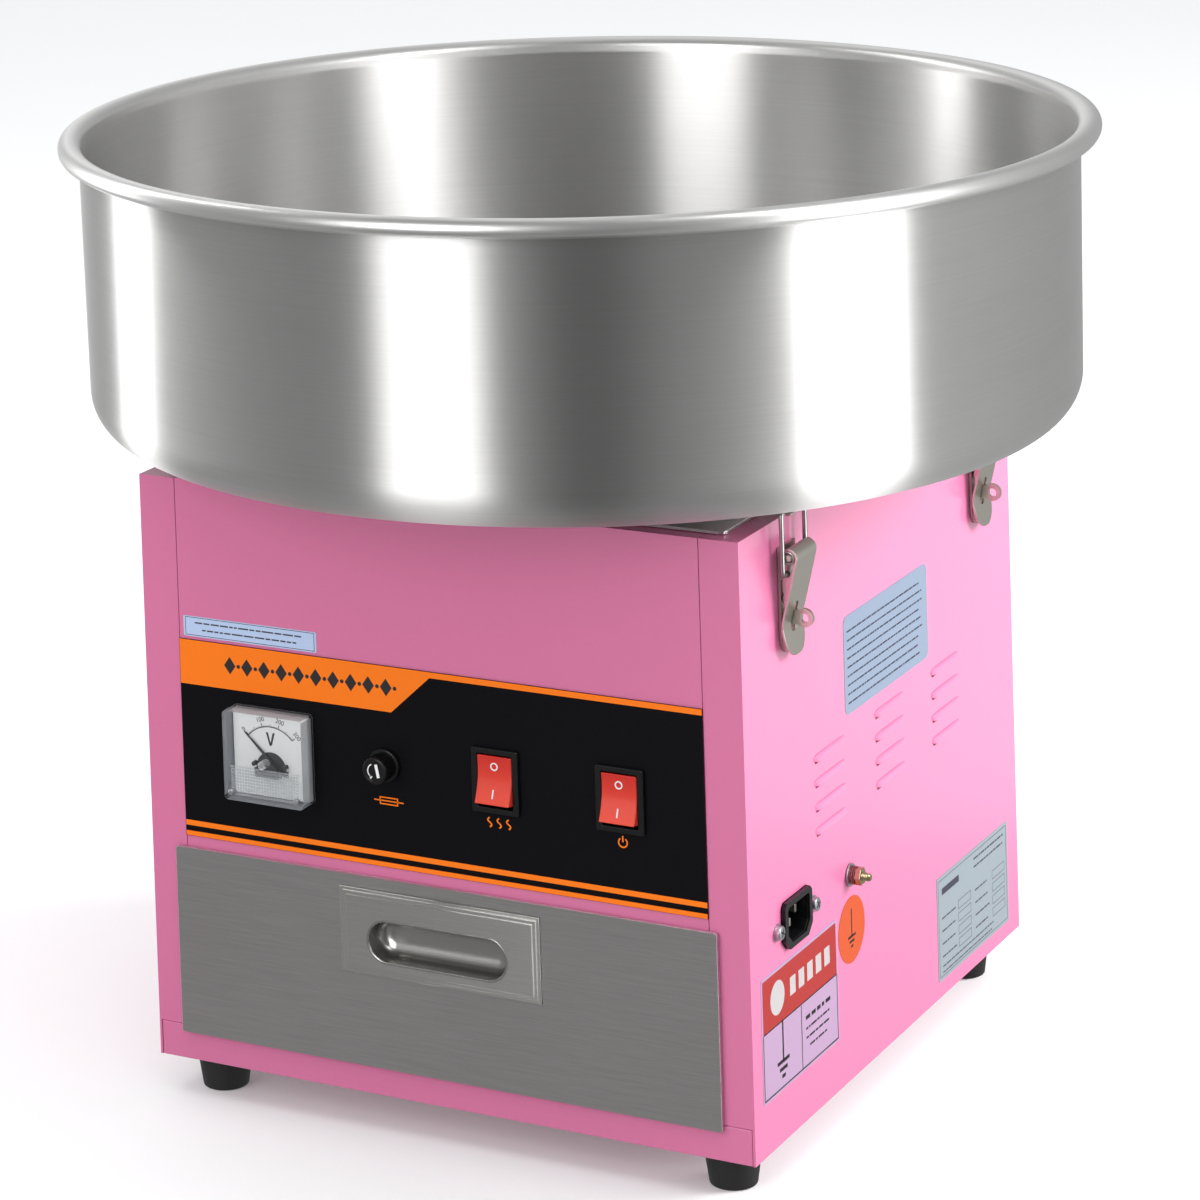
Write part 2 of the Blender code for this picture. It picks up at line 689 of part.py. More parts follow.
def rocker(x, name, plastic):
    """The red key in cross-section (depth, height), at rest with its upper half pressed."""
    reach, valley = 11.3 * MM, 4.2 * MM
    crest = valley + reach * math.tan(ROCKER_TILT)
    side = [(reach, crest), (reach, 1 * MM), (5 * MM, -7 * MM)]
    outline = [(0, valley)] + side + [(-a, b) for a, b in reversed(side)]
    key = prism([(-b, a) for a, b in outline], "X", -9 * MM, 9 * MM)
    finished(key, name, plastic)
    axis = pivot(f"{name}_axis", (x, FRONT + ROCKER_PIVOT_DEPTH, up(SWITCH_Z)))
    axis.rotation_euler = (-ROCKER_TILT, 0, 0)
    hang(key, axis)


def power_inlet(plastic):
    """Three-pin socket: a shroud through the panel, ears behind it and a box at the back."""
    shroud = prism(chamfered((0, 0), INLET_SHROUD, 2 * MM, 5 * MM), "Z", -3 * MM, 2.3 * MM)
    ears = prism(stadium((0, 0), (51 * MM, 14 * MM)), "Z", -3.5 * MM, -SHEET - GAP)
    back = prism(rectangle((0, 0), (27 * MM, 19.4 * MM)), "Z", -16 * MM, -2.5 * MM)
    socket = union(shroud, ears, back)
    cut(socket, prism(chamfered((0, 0), (24 * MM, 16.4 * MM), 1 * MM, 4.2 * MM), "Z", -13 * MM, 4 * MM))
    pins = [
        prism(rectangle((a, b), (2 * MM, 4 * MM)), "Z", -14 * MM, -3 * MM)
        for a, b in ((-7 * MM, 2 * MM), (7 * MM, 2 * MM), (0, -2.5 * MM))
    ]
    union(socket, *pins)
    finished(moved(socket, on_side(INLET_Y, INLET_Z)), "power_inlet", plastic)


def ground_stud(brass):
    """Threaded stud with its washers and nut clamped on the panel."""
    profile = [(0, -8), (2, -8), (2, 0.3), (5.5, 0.3), (5.5, 1.9), (4.6, 1.9), (4.6, 6.5)]
    profile += [(2, 6.5), (2, 10.4), (1.4, 11), (0, 11)]
    stud = turned([(r * MM, h * MM) for r, h in profile], SMALL_STEPS)
    finished(moved(stud, on_side(STUD_Y, STUD_Z)), "ground_stud", brass, smooth=True)


# ---------------------------------------------------------------- drawer


def drawer(steel, zinc):
    slide = pivot("drawer_slide", (0, FRONT, up(DRAWER_FRONT_Z)))
    for piece in (drawer_box(zinc), drawer_front(steel), drawer_handle(steel)):
        hang(piece, slide, slide.location)


def grip_opening(start, end):
    size = GRIP_SIZE + Vector((1, 1)) * 2 * (GRIP_WALL + CUT_MARGIN)
    return prism(stadium((0, up(GRIP_Z)), size), "Y", start, end)


def drawer_box(zinc):
    half = DRAWER_BOX_WIDTH / 2
    low, high = up(DRAWER_BOX_BOTTOM), up(DRAWER_BOX_TOP)
    rear = FRONT + DRAWER_BOX_LENGTH
    tray = box((-half, FRONT, low), (half, rear, high))
    inside_low = (-half + DRAWER_SHEET, FRONT + DRAWER_SHEET, low + DRAWER_SHEET)
    inside_high = (half - DRAWER_SHEET, rear - DRAWER_SHEET, high + SHEET)
    cut(tray, box(inside_low, inside_high))
    cut(tray, grip_opening(FRONT - SHEET, FRONT + 3 * SHEET))
    return finished(tray, "drawer_box", zinc)


def drawer_front(steel):
    far = FRONT - 0.5 * MM
    outline = rounded((0, up(DRAWER_FRONT_Z)), DRAWER_FRONT_SIZE, 1 * MM, 2)
    plate = prism(outline, "Y", far - DRAWER_FRONT_THICKNESS, far)
    cut(plate, grip_opening(far - 4 * SHEET, far + SHEET))
    return finished(plate, "drawer_front", steel)


def drawer_handle(steel):
    """A stepped rectangular border with a long pocket for the fingers."""
    far = FRONT - 0.5 * MM - DRAWER_FRONT_THICKNESS - GAP
    near = far - HANDLE_THICKNESS
    step = far - HANDLE_THICKNESS / 2
    centre = (HANDLE_X, up(HANDLE_Z))
    border = prism(rectangle(centre, HANDLE_SIZE), "Y", step, far)
    inner = HANDLE_SIZE - Vector((1, 1)) * 5 * MM
    face = prism(rectangle(centre, inner), "Y", near, far - 0.2 * MM)
    cup_size = GRIP_SIZE + Vector((1, 1)) * 2 * GRIP_WALL
    cup_end = near + GRIP_DEPTH
    cup = prism(stadium((0, up(GRIP_Z)), cup_size), "Y", far - 0.4 * MM, cup_end)
    handle = union(border, face, cup)
    pocket = prism(stadium((0, up(GRIP_Z)), GRIP_SIZE), "Y", near - SHEET, cup_end - GRIP_WALL)
    return finished(cut(handle, pocket), "drawer_handle", steel)


# ---------------------------------------------------------------- drive and spinning head


def spun(points, name, look, steps=ROUND_STEPS):
    """A piece turned about the machine's vertical axis, from millimetres above the casing's bottom."""
    profile = [(radius * MM, up(height * MM)) for radius, height in points]
    return finished(turned(profile, steps), name, look, smooth=True)


def motor(grey, zinc):
    case = [(0, 134), (36, 134), (42, 140), (42, 262), (38, 266.2), (12, 266.2), (12, 268)]
    case += [(4.3, 268), (4.3, 190), (0, 190)]
    spun(case, "motor_housing", grey)
    top = up(BODY_HEIGHT)
    low = up(266.5 * MM)
    foot, web, sheet = 116 * MM, 100 * MM, 2 * MM
    right = [(web, low), (web, top - sheet), (foot, top - sheet), (foot, top)]
    right += [(web - sheet, top), (web - sheet, low + sheet)]
    outline = right + [(-x, z) for x, z in reversed(right)]
    plate = prism(outline, "Y", -30 * MM, 30 * MM)
    hole = prism(circle((0, 0), 12.6 * MM), "Z", low - SHEET, low + 4 * SHEET)
    finished(cut(plate, hole), "motor_bracket", zinc)


def slip_rings(resin, brass):
    """Insulating sleeve on the shaft, two contact rings, and the block whose fingers stand beside them."""
    spun([(4.3, 290), (12, 290), (12, 313), (4.3, 313)], "slip_ring_carrier", resin, SMALL_STEPS)
    for name, low in (("slip_ring_lower", 294), ("slip_ring_upper", 302)):
        ring = [(12.3, low), (15.8, low), (15.8, low + 5), (12.3, low + 5)]
        spun(ring, name, brass, SMALL_STEPS)
    bottom = up(BODY_HEIGHT + DECK_THICKNESS + 2 * GAP)
    block = box((50 * MM, -8 * MM, bottom), (58 * MM, 8 * MM, up(310 * MM)))
    fingers = [
        box((16.3 * MM, -2.5 * MM, up(low * MM)), (51 * MM, 2.5 * MM, up((low + 3) * MM)))
        for low in (295, 303)
    ]
    finished(union(block, *fingers), "brush_block", resin)


def spinning_head(cast, heater_metal, mesh_steel, steel):
    spun([(0, 190.3), (4, 190.3), (4, 352), (3.2, 353), (0, 353)], "motor_shaft", steel, SMALL_STEPS)
    pan = [(4.3, 314), (11, 314), (11, 317.5), (58, 317.5), (68, 321), (68, 330), (66.6, 330)]
    pan += [(66.6, 322.3), (57.8, 319.2), (11, 319.2), (9, 321), (9, 346), (4.3, 346)]
    spun(pan, "head_pan", cast)
    spun([(54, 323), (60, 323), (60, 338), (54, 338)], "head_heater", heater_metal)
    spun([(64.6, 323), (65.8, 323), (65.8, 352), (64.6, 352)], "head_screen", mesh_steel)
    lid = [(15, 368), (15, 361), (17, 359), (45, 356.2), (66.6, 353), (66.6, 348), (68, 348)]
    lid += [(68, 355.5), (45, 358.2), (18, 361), (16.5, 368)]
    spun(lid, "head_lid", cast)
    low, high = up(346.3 * MM), up(351.5 * MM)
    nut = prism(circle((0, 0), 7.5 * MM, 6), "Z", low, high)
    finished(cut(nut, prism(circle((0, 0), 4.3 * MM, 16), "Z", low - SHEET, high + SHEET)), "head_nut", steel)


def build():
    clear_scene()
    paint = material("pink_paint", (0.79, 0.25, 0.42), 0.35)
    rubber = material("black_rubber", (0.012, 0.012, 0.013), 0.7)
    steel = material("brushed_steel", (0.55, 0.54, 0.52), 0.35, 1.0)
    bright = material("spun_steel", (0.75, 0.74, 0.72), 0.25, 1.0)
    zinc = material("zinc_plate", (0.6, 0.62, 0.64), 0.4, 1.0)
    nickel = material("nickel", (0.6, 0.58, 0.54), 0.25, 1.0)
    film = material("printed_film", (0.01, 0.01, 0.012), 0.35)
    clear = material("clear_plastic", (0.8, 0.85, 0.88), 0.08, alpha=0.35)
    dial = material("dial_white", (0.8, 0.8, 0.78), 0.5)
    black = material("black_plastic", (0.015, 0.015, 0.017), 0.4)
    red = material("red_plastic", (0.72, 0.02, 0.015), 0.25)
    brass = material("brass", (0.78, 0.57, 0.28), 0.3, 1.0)
    glass = material("fuse_glass", (0.75, 0.78, 0.78), 0.1, 0.3)
    cast = material("cast_aluminium", (0.7, 0.7, 0.69), 0.4, 1.0)
    resin = material("brown_resin", (0.09, 0.04, 0.02), 0.5)
    side_panels(paint)
    front_panel(paint)
    rear_panel(paint)
    base_tray(paint)
    deck_plate(steel)
    feet(rubber)
    bowl(bright)
    bowl_seal(rubber)
    latches(nickel, steel)
    control_overlay(film)
    meter(clear, dial, black)
    fuse(black, glass)
    for kind, x in (("heat", HEAT_SWITCH_X), ("power", POWER_SWITCH_X)):
        switch_frame(x, f"{kind}_switch_frame", black)
        rocker(x, f"{kind}_rocker", red)
    power_inlet(black)
    ground_stud(brass)
    drawer(steel, zinc)
    motor(zinc, zinc)
    slip_rings(resin, brass)
    spinning_head(cast, resin, steel, bright)


build()
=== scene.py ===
"""Looks of the countertop cotton candy machine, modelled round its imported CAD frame.

Shapes are drawn in millimetres, with heights measured from the casing's bottom, and piece() turns them into
the frame's metres. X is to the right, -Y is out of the front, "out" is a distance in front of a panel.
"""

import random
from math import cos, degrees, pi, radians, sin, sqrt, tan, tau

import bmesh
import bpy
from mathutils import Matrix, Vector

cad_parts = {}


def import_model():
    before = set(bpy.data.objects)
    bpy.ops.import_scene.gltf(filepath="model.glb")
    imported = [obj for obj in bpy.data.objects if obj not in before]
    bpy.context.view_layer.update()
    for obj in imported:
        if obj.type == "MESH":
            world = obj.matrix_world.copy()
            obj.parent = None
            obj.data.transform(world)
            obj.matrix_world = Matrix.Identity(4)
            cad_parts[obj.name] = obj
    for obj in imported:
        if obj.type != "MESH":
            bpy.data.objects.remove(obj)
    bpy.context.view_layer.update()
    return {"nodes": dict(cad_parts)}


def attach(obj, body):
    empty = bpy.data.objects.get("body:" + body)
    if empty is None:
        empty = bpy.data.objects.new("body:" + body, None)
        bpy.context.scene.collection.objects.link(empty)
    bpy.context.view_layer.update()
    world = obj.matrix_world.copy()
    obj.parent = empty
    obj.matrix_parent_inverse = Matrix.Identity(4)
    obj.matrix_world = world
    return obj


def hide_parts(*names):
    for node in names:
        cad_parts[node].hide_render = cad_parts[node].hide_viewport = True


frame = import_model()

FRONT = -168.0
REAR = 168.0
SIDE = 160.0
FOOT = 20.0
TO_FRAME = Matrix.Translation((0, 0, FOOT / 1000)) @ Matrix.Scale(0.001, 4)
SHEET = 1.2
CASING_TOP = 290.0
METER = (-87.7, 160.7)
FUSE = (-26.5, 163.2)
SWITCHES = {"heat": (32.9, 163.4), "power": (97.6, 163.4)}
INLET = (-117.0, 99.6)
STUD = (-52.0, 99.0)
LOUVRE_COLUMNS = (-72.0, 1.5, 74.0)
LOUVRE_ROWS = (164.5, 152.9, 141.3, 129.7)
LATCHES = [
    (f"{row}_{side}", y, 1 if side == "right" else -1)
    for row, y in (("front", -117.0), ("rear", 122.0))
    for side in ("right", "left")
]


# ---- materials


def srgb(*screen):
    """Linear colour of a screen colour given as 0 to 255."""
    shares = [value / 255 for value in screen]
    return tuple(c / 12.92 if c <= 0.04045 else ((c + 0.055) / 1.055) ** 2.4 for c in shares)


class Nodes:
    """The node tree of a material or a world, with short calls for adding and joining nodes."""

    def __init__(self, owner):
        owner.use_nodes = True
        self.tree = owner.node_tree
        self.shader = self.tree.nodes.get("Principled BSDF")
        self.output = next(node for node in self.tree.nodes if node.type.startswith("OUTPUT"))

    def add(self, kind, settings=(), **inputs):
        made = self.tree.nodes.new(kind)
        for key, value in dict(settings).items():
            setattr(made, key, value)
        self.set(made, **inputs)
        return made

    def set(self, node, **inputs):
        """Gives inputs constants, or links them where the value is an output socket."""
        for key, value in inputs.items():
            index = int(key[2:]) if key.startswith("in") and key[2:].isdigit() else key.replace("_", " ")
            socket = node.inputs[index]
            if isinstance(value, bpy.types.NodeSocket):
                self.tree.links.new(value, socket)
            else:
                socket.default_value = value

    def math(self, operation, first, second=0.0, third=0.0):
        made = self.add("ShaderNodeMath", {"operation": operation}, in0=first, in1=second, in2=third)
        return made.outputs[0]

    def blend(self, first, second, share):
        """A share of the first value and the rest of the second."""
        return self.math("ADD", self.math("MULTIPLY", first, share), self.math("MULTIPLY", second, 1 - share))

    def range(self, value, low, high):
        made = self.add("ShaderNodeMapRange", in0=value, in3=low, in4=high)
        return made.outputs[0]

    def noise(self, vector, scale, detail=3.0, roughness=0.6):
        made = self.add("ShaderNodeTexNoise", Vector=vector, Scale=scale, Detail=detail, Roughness=roughness)
        return made.outputs[0]

    def stretched(self, scale):
        """Position in metres, scaled differently along each axis."""
        place = self.add("ShaderNodeTexCoord").outputs["Object"]
        return self.add("ShaderNodeMapping", Vector=place, Scale=scale).outputs[0]

    def mix(self, factor, first, second):
        made = self.add("ShaderNodeMix", {"data_type": "RGBA"}, in0=factor, in6=first, in7=second)
        return made.outputs[2]


def surface(name, colour, roughness, metallic=0.0, grain=(1, 1, 1), fine=700, tone=0.08, spread=0.08,
            bump=0.05, soil=0.05, **extra):
    """A worn surface: uneven tone and gloss, a fine grain that can run one way, and a little soil."""
    LOOKS[name] = bpy.data.materials.new(name)
    n = Nodes(LOOKS[name])
    grained = n.noise(n.stretched(grain), fine, 4.0)
    broad = n.noise(n.stretched((1, 1, 1)), 14, 5.0, 0.55)
    dark = [c * (1 - tone) for c in colour]
    toned = n.mix(grained, (*dark, 1.0), (*colour, 1.0))
    soiled = n.mix(n.range(broad, 0.0, soil), toned, (0.22, 0.19, 0.16, 1.0))
    gloss = n.range(n.blend(grained, broad, 0.6), max(0.02, roughness - spread), roughness + spread)
    height = n.add("ShaderNodeBump", Strength=bump, Distance=0.0004, Height=grained)
    n.set(n.shader, Base_Color=soiled, Roughness=gloss, Metallic=metallic, Normal=height.outputs[0])
    n.set(n.shader, Coat_Roughness=0.12, **extra)
    return n


def spun_bowl():
    """Bowl steel: polished in rings round the vertical axis, so that highlights stretch up and down."""
    LOOKS["spun_bowl"] = bpy.data.materials.new("spun_bowl")
    n = Nodes(LOOKS["spun_bowl"])
    place = n.add("ShaderNodeTexCoord").outputs["Object"]
    x, y, z = n.add("ShaderNodeSeparateXYZ", Vector=place).outputs
    radius = n.math("SQRT", n.math("ADD", n.math("MULTIPLY", x, x), n.math("MULTIPLY", y, y)))
    around = n.math("ARCTAN2", y, x)

    def ringed(along, across, detail, roughness):
        scaled = [n.math("MULTIPLY", *pair) for pair in ((around, along), (z, across), (radius, across))]
        combined = n.add("ShaderNodeCombineXYZ", X=scaled[0], Y=scaled[1], Z=scaled[2])
        return n.noise(combined.outputs[0], 1.0, detail, roughness)

    rings = ringed(2.5, 900.0, 6.0, 0.75)
    bands = ringed(1.6, 60.0, 3.0, 0.6)
    tone = n.blend(rings, n.noise(place, 9.0, 4.0), 0.6)
    steel = n.mix(tone, (0.66, 0.655, 0.65, 1), (0.87, 0.865, 0.86, 1))
    n.set(n.shader, Base_Color=steel, Metallic=1.0, Roughness=n.range(n.blend(rings, bands, 0.5), 0.33, 0.44))
    rim = n.add("ShaderNodeMapRange", in0=z, in1=0.459, in2=0.4605).outputs[0]
    tangent = n.add("ShaderNodeTangent", {"direction_type": "RADIAL", "axis": "Z"}).outputs[0]
    n.set(n.shader, Anisotropic=n.range(rim, 1.0, 0.3), Tangent=tangent, Anisotropic_Rotation=0.25)
    height = n.add("ShaderNodeBump", Strength=0.05, Distance=0.0003, Height=rings)
    n.set(n.shader, Normal=height.outputs[0])


def clear_plastic(name, tint, strength, gloss):
    """Thin clear plastic that lets light straight through and shines at its edges."""
    n = surface(name, tint, gloss, spread=0.03, tone=0.03, soil=0.02, bump=0.02)
    through = n.add("ShaderNodeBsdfTransparent", Color=(0.97, 0.975, 0.98, 1))
    facing = n.add("ShaderNodeLayerWeight", Blend=0.14).outputs["Fresnel"]
    factor = n.math("ADD", n.math("MULTIPLY", facing, 0.7), strength)
    both = n.add("ShaderNodeMixShader", in0=factor, in1=through.outputs[0], in2=n.shader.outputs[0])
    n.set(n.output, Surface=both.outputs[0])


def pink_paint():
    """Powder coat with a faint orange peel."""
    n = surface(
        "pink_paint", (0.70, 0.176, 0.35), 0.3,
        fine=260, tone=0.03, spread=0.06, bump=0.03, soil=0.02, Coat_Weight=0.35,
    )
    peel = n.noise(n.stretched((1, 1, 1)), 520, 1.0)
    bump = n.add("ShaderNodeBump", Strength=0.06, Distance=0.0003, Height=peel)
    n.set(n.shader, Coat_Normal=bump.outputs[0])


def red_plastic():
    """Translucent rocker plastic with painted shade and light: darker towards its top, lighter towards its
    bottom.
    """
    n = surface("red_plastic", (0.6, 0.02, 0.015), 0.2, fine=300, tone=0.06, bump=0.01, soil=0.0,
                Subsurface_Weight=0.2, Subsurface_Radius=(0.004, 0.0006, 0.0004), Coat_Weight=0.4)
    place = n.add("ShaderNodeTexCoord").outputs["Generated"]
    height = n.add("ShaderNodeSeparateXYZ", Vector=place).outputs[2]
    # Painted shade and light: the base colour runs from light red at the bottom of the key to dark red at its
    # top.
    n.set(n.shader, Base_Color=n.mix(height, (0.84, 0.07, 0.035, 1), (0.6, 0.02, 0.012, 1)))


def metals():
    brushing = {"fine": 1500, "Anisotropic": 1.0, "Anisotropic_Rotation": 0.25}
    for name, colour, roughness, extra in (
        ("brushed_steel", (0.9, 0.88, 0.875), 0.36,
         {"grain": (0.03, 1, 1), "tone": 0.3, "spread": 0.04, "bump": 0.05, **brushing}),
        ("pull_steel", (0.85, 0.83, 0.81), 0.36,
         {"grain": (0.04, 1, 1), "tone": 0.24, "bump": 0.04, **brushing}),
        # Painted shade: the pull's recessed pocket gets a much darker steel than the pull itself.
        ("shaded_cup_steel", (0.46, 0.455, 0.44), 0.26,
         {"grain": (0.04, 1, 1), "fine": 900, "tone": 0.06, "spread": 0.03, "bump": 0.003}),
        ("nickel_steel", (0.7, 0.675, 0.6), 0.34, {"fine": 2600, "tone": 0.08, "bump": 0.01}),
        ("bail_wire", (0.46, 0.45, 0.44), 0.3, {"fine": 2600, "tone": 0.1, "bump": 0.01}),
        ("zinc_plate", (0.6, 0.62, 0.65), 0.36, {"fine": 160, "tone": 0.2, "bump": 0.01}),
        ("machined_steel", (0.6, 0.59, 0.57), 0.28, {"grain": (1, 1, 8), "fine": 600, "bump": 0.06}),
        ("cast_aluminium", (0.72, 0.72, 0.7), 0.36, {"fine": 420, "tone": 0.18, "bump": 0.12}),
        ("screen_steel", (0.6, 0.6, 0.58), 0.3, {"fine": 700, "bump": 0.05}),
        ("brass", (0.62, 0.49, 0.3), 0.3, {"fine": 500, "tone": 0.2, "bump": 0.02}),
        ("copper", (0.36, 0.2, 0.17), 0.4, {"fine": 500, "tone": 0.2, "bump": 0.02}),
        ("heater_wire", (0.4, 0.34, 0.3), 0.45, {"fine": 600}),
    ):
        surface(name, colour, roughness, metallic=1.0, **extra)


def papers_and_inks():
    for fine, tone, soil, inks in (
        (900, 0.04, 0.01, {"white_print": (238, 238, 238, 0.45), "pale_print": (182, 176, 176, 0.45)}),
        (900, 0.1, 0.01, {"ink": (26, 22, 24, 0.5), "small_print": (58, 58, 74, 0.5)}),
        (700, 0.04, 0.01, {"dial_white": (236, 236, 233, 0.5)}),
        (900, 0.08, 0.05, {"needle_black": (28, 28, 30, 0.5)}),
        (800, 0.05, 0.01, {"red_paper": (162, 36, 32, 0.42), "orange_paper": (196, 76, 24, 0.42)}),
        (800, 0.04, 0.02, {"blue_paper": (184, 204, 236, 0.45), "pale_paper": (134, 149, 170, 0.45)}),
        (800, 0.04, 0.02, {"grey_paper": (139, 150, 157, 0.4), "lilac_paper": (172, 143, 174, 0.42)}),
    ):
        for name, (*colour, roughness) in inks.items():
            surface(name, srgb(*colour), roughness, fine=fine, tone=tone, soil=soil)


def plastics():
    surface("motor_grey", (0.12, 0.125, 0.135), 0.45, bump=0.1)
    surface("black_rubber", (0.014, 0.014, 0.014), 0.62, fine=420, spread=0.1, bump=0.15, soil=0.03)
    surface("heater_ceramic", srgb(196, 178, 150), 0.7, fine=300, bump=0.2)
    surface("brown_resin", srgb(84, 46, 28), 0.45, fine=350, tone=0.2, bump=0.08)
    for name, colour, roughness, fine, tone, soil, shine in (
        ("printed_film", srgb(15, 14, 18), 0.42, 900, 0.1, 0.0, 0.06),
        ("orange_print", srgb(255, 124, 10), 0.42, 900, 0.04, 0.004, 0.2),
        ("black_plastic", srgb(19, 19, 21), 0.3, 500, 0.1, 0.005, 0.3),
    ):
        surface(name, colour, roughness, fine=fine, tone=tone, bump=0.03, soil=soil, Specular_IOR_Level=shine)
    clear_plastic("clear_plastic", (0.55, 0.57, 0.6), 0.03, 0.0)
    clear_plastic("frosted_plastic", (0.86, 0.87, 0.88), 0.25, 0.14)
    clear_plastic("fuse_glass", (0.8, 0.84, 0.84), 0.12, 0.05)


LOOKS = {}
pink_paint()
spun_bowl()
metals()
red_plastic()
papers_and_inks()
plastics()


# ---- modelling helpers


def linked(name, data):
    obj = bpy.data.objects.new(name, data)
    bpy.context.scene.collection.objects.link(obj)
    return obj


def discard(*objs):
    for obj in objs:
        bpy.data.objects.remove(obj, do_unlink=True)


def object_from(bm, name="shape"):
    bmesh.ops.recalc_face_normals(bm, faces=bm.faces)
    mesh = bpy.data.meshes.new(name)
    bm.to_mesh(mesh)
    bm.free()
    return linked(name, mesh)


def box(low, high):
    bm = bmesh.new()
    low, high = Vector(low), Vector(high)
    place = Matrix.Translation((low + high) / 2) @ Matrix.Diagonal((*(high - low), 1.0))
    bmesh.ops.create_cube(bm, size=1.0, matrix=place)
    return object_from(bm)


AXIS_POINTS = {
    "X": lambda a, b, c: (c, a, b),
    "Y": lambda a, b, c: (a, c, b),
    "Z": lambda a, b, c: (a, b, c),
}


def bridge(bm, first, second):
    """Faces between two closed rings with as many points."""
    for i, corner in enumerate(first):
        bm.faces.new((first[i - 1], corner, second[i], second[i - 1]))


def prism(outline, axis, start, end):
    """An outline extruded along an axis. Its points are (y, z), (x, z) or (x, y) for X, Y or Z."""
    return prisms([outline], axis, start, end)


def prisms(outlines, axis, start, end):
    """Several separate prisms in one mesh."""
    bm = bmesh.new()
    place = AXIS_POINTS[axis]
    for outline in outlines:
        near = [bm.verts.new(place(a, b, start)) for a, b in outline]
        far = [bm.verts.new(place(a, b, end)) for a, b in outline]
        bm.faces.new(near)
        bm.faces.new(far[::-1])
        bridge(bm, near, far)
    return object_from(bm)


def turned(profile, steps):
    """A (radius, height) profile spun about Z: closed round, or open between two points on the axis."""
    bm = bmesh.new()
    rings = []
    for radius, height in profile:
        if radius < 1e-6:
            rings.append([bm.verts.new((0, 0, height))])
            continue
        turns = [tau * i / steps for i in range(steps)]
        rings.append([bm.verts.new((radius * cos(t), radius * sin(t), height)) for t in turns])
    pairs = list(zip(rings, rings[1:]))
    if profile[0][0] > 1e-6:
        pairs.append((rings[-1], rings[0]))
    for lower, upper in pairs:
        for i in range(steps):
            j = (i + 1) % steps
            corners = [ring[k % len(ring)] for ring, k in ((lower, i), (lower, j), (upper, j), (upper, i))]
            corners = list(dict.fromkeys(corners))
            if len(corners) > 2:
                bm.faces.new(corners)
    return object_from(bm)


def band(inner, outer, low, high, steps):
    """A ring of rectangular section about Z, or a disc where inner is 0."""
    return turned([(inner, low), (outer, low), (outer, high), (inner, high)], steps)


def tube(points, radius, sides, closed=False):
    """A round wire along points."""
    points = [Vector(p) for p in points]
    bm = bmesh.new()
    count = len(points)
    rings = []
    side = None
    for i, point in enumerate(points):
        before = points[i - 1] if i or closed else point
        after = points[(i + 1) % count] if i + 1 < count or closed else point
        along = (after - before).normalized()
        guess = side if side is not None else along.orthogonal()
        side = (guess - along * guess.dot(along)).normalized()
        other = along.cross(side)
        turns = [tau * k / sides for k in range(sides)]
        rings.append([bm.verts.new(point + side * radius * cos(t) + other * radius * sin(t)) for t in turns])
    pairs = list(zip(rings, rings[1:]))
    if closed:
        pairs.append((rings[-1], rings[0]))
    else:
        bm.faces.new(rings[0][::-1])
        bm.faces.new(rings[-1])
    for lower, upper in pairs:
        bridge(bm, lower, upper)
    return object_from(bm)


def joined(*objs):
    """One object that holds the separate shells of several."""
    bm = bmesh.new()
    for obj in objs:
        obj.data.transform(obj.matrix_world)
        bm.from_mesh(obj.data)
        discard(obj)
    return object_from(bm)


def evaluated(obj):
    """The object's mesh with its modifiers applied."""
    graph = bpy.context.evaluated_depsgraph_get()
    graph.update()
    return bpy.data.meshes.new_from_object(obj.evaluated_get(graph))


def combined(obj, operation, others):
    for other in others:
        modifier = obj.modifiers.new(operation, "BOOLEAN")
        modifier.operation = operation
        modifier.solver = "EXACT"
        modifier.object = other
    mesh = evaluated(obj)
    obj.modifiers.clear()
    obj.data = mesh
    discard(*others)
    return obj


def union(first, *others):
    return combined(first, "UNION", others)


def cut(obj, *cutters):
    return combined(obj, "DIFFERENCE", cutters)


def moved(obj, matrix):
    obj.data.transform(matrix)
    return obj


def shift(x, y, z):
    return Matrix.Translation((x, y, z))


def spin(angle, axis="Z"):
    return Matrix.Rotation(radians(angle), 4, axis)


def to_side(sign):
    """Leaves a shape for the right side alone, and turns one for the left side half round."""
    return spin(90 - 90 * sign)


def arc(centre, radius, start, end, steps):
    angles = [radians(start + (end - start) * i / steps) for i in range(steps + 1)]
    return [(centre[0] + radius * cos(a), centre[1] + radius * sin(a)) for a in angles]


def circle(centre, radius, steps=32):
    return arc(centre, radius, 0, 360, steps)[:-1]


def rectangle(centre, size):
    x, y = size[0] / 2, size[1] / 2
    return [(centre[0] + a * x, centre[1] + b * y) for a, b in ((-1, -1), (1, -1), (1, 1), (-1, 1))]


def rectangles(*places):
    """Several rectangles, each given by its centre and then its size."""
    return [rectangle((a, b), (width, height)) for a, b, width, height in places]


def rounded(centre, size, radius, steps=6):
    x, y = size[0] / 2 - radius, size[1] / 2 - radius
    points = []
    for i, (a, b) in enumerate(((1, 1), (-1, 1), (-1, -1), (1, -1))):
        points += arc((centre[0] + a * x, centre[1] + b * y), radius, 90 * i, 90 * i + 90, steps)
    return points


def stadium(centre, size, steps=16):
    reach, radius = (size[0] - size[1]) / 2, size[1] / 2
    right = arc((centre[0] + reach, centre[1]), radius, -90, 90, steps)
    return right + arc((centre[0] - reach, centre[1]), radius, 90, 270, steps)


def chamfered(centre, size, top, bottom):
    x, y = size[0] / 2, size[1] / 2
    points = [(x, -y + bottom), (x, y - top), (x - top, y), (-x + top, y), (-x, y - top)]
    points += [(-x, -y + bottom), (-x + bottom, -y), (x - bottom, -y)]
    return [(centre[0] + a, centre[1] + b) for a, b in points]


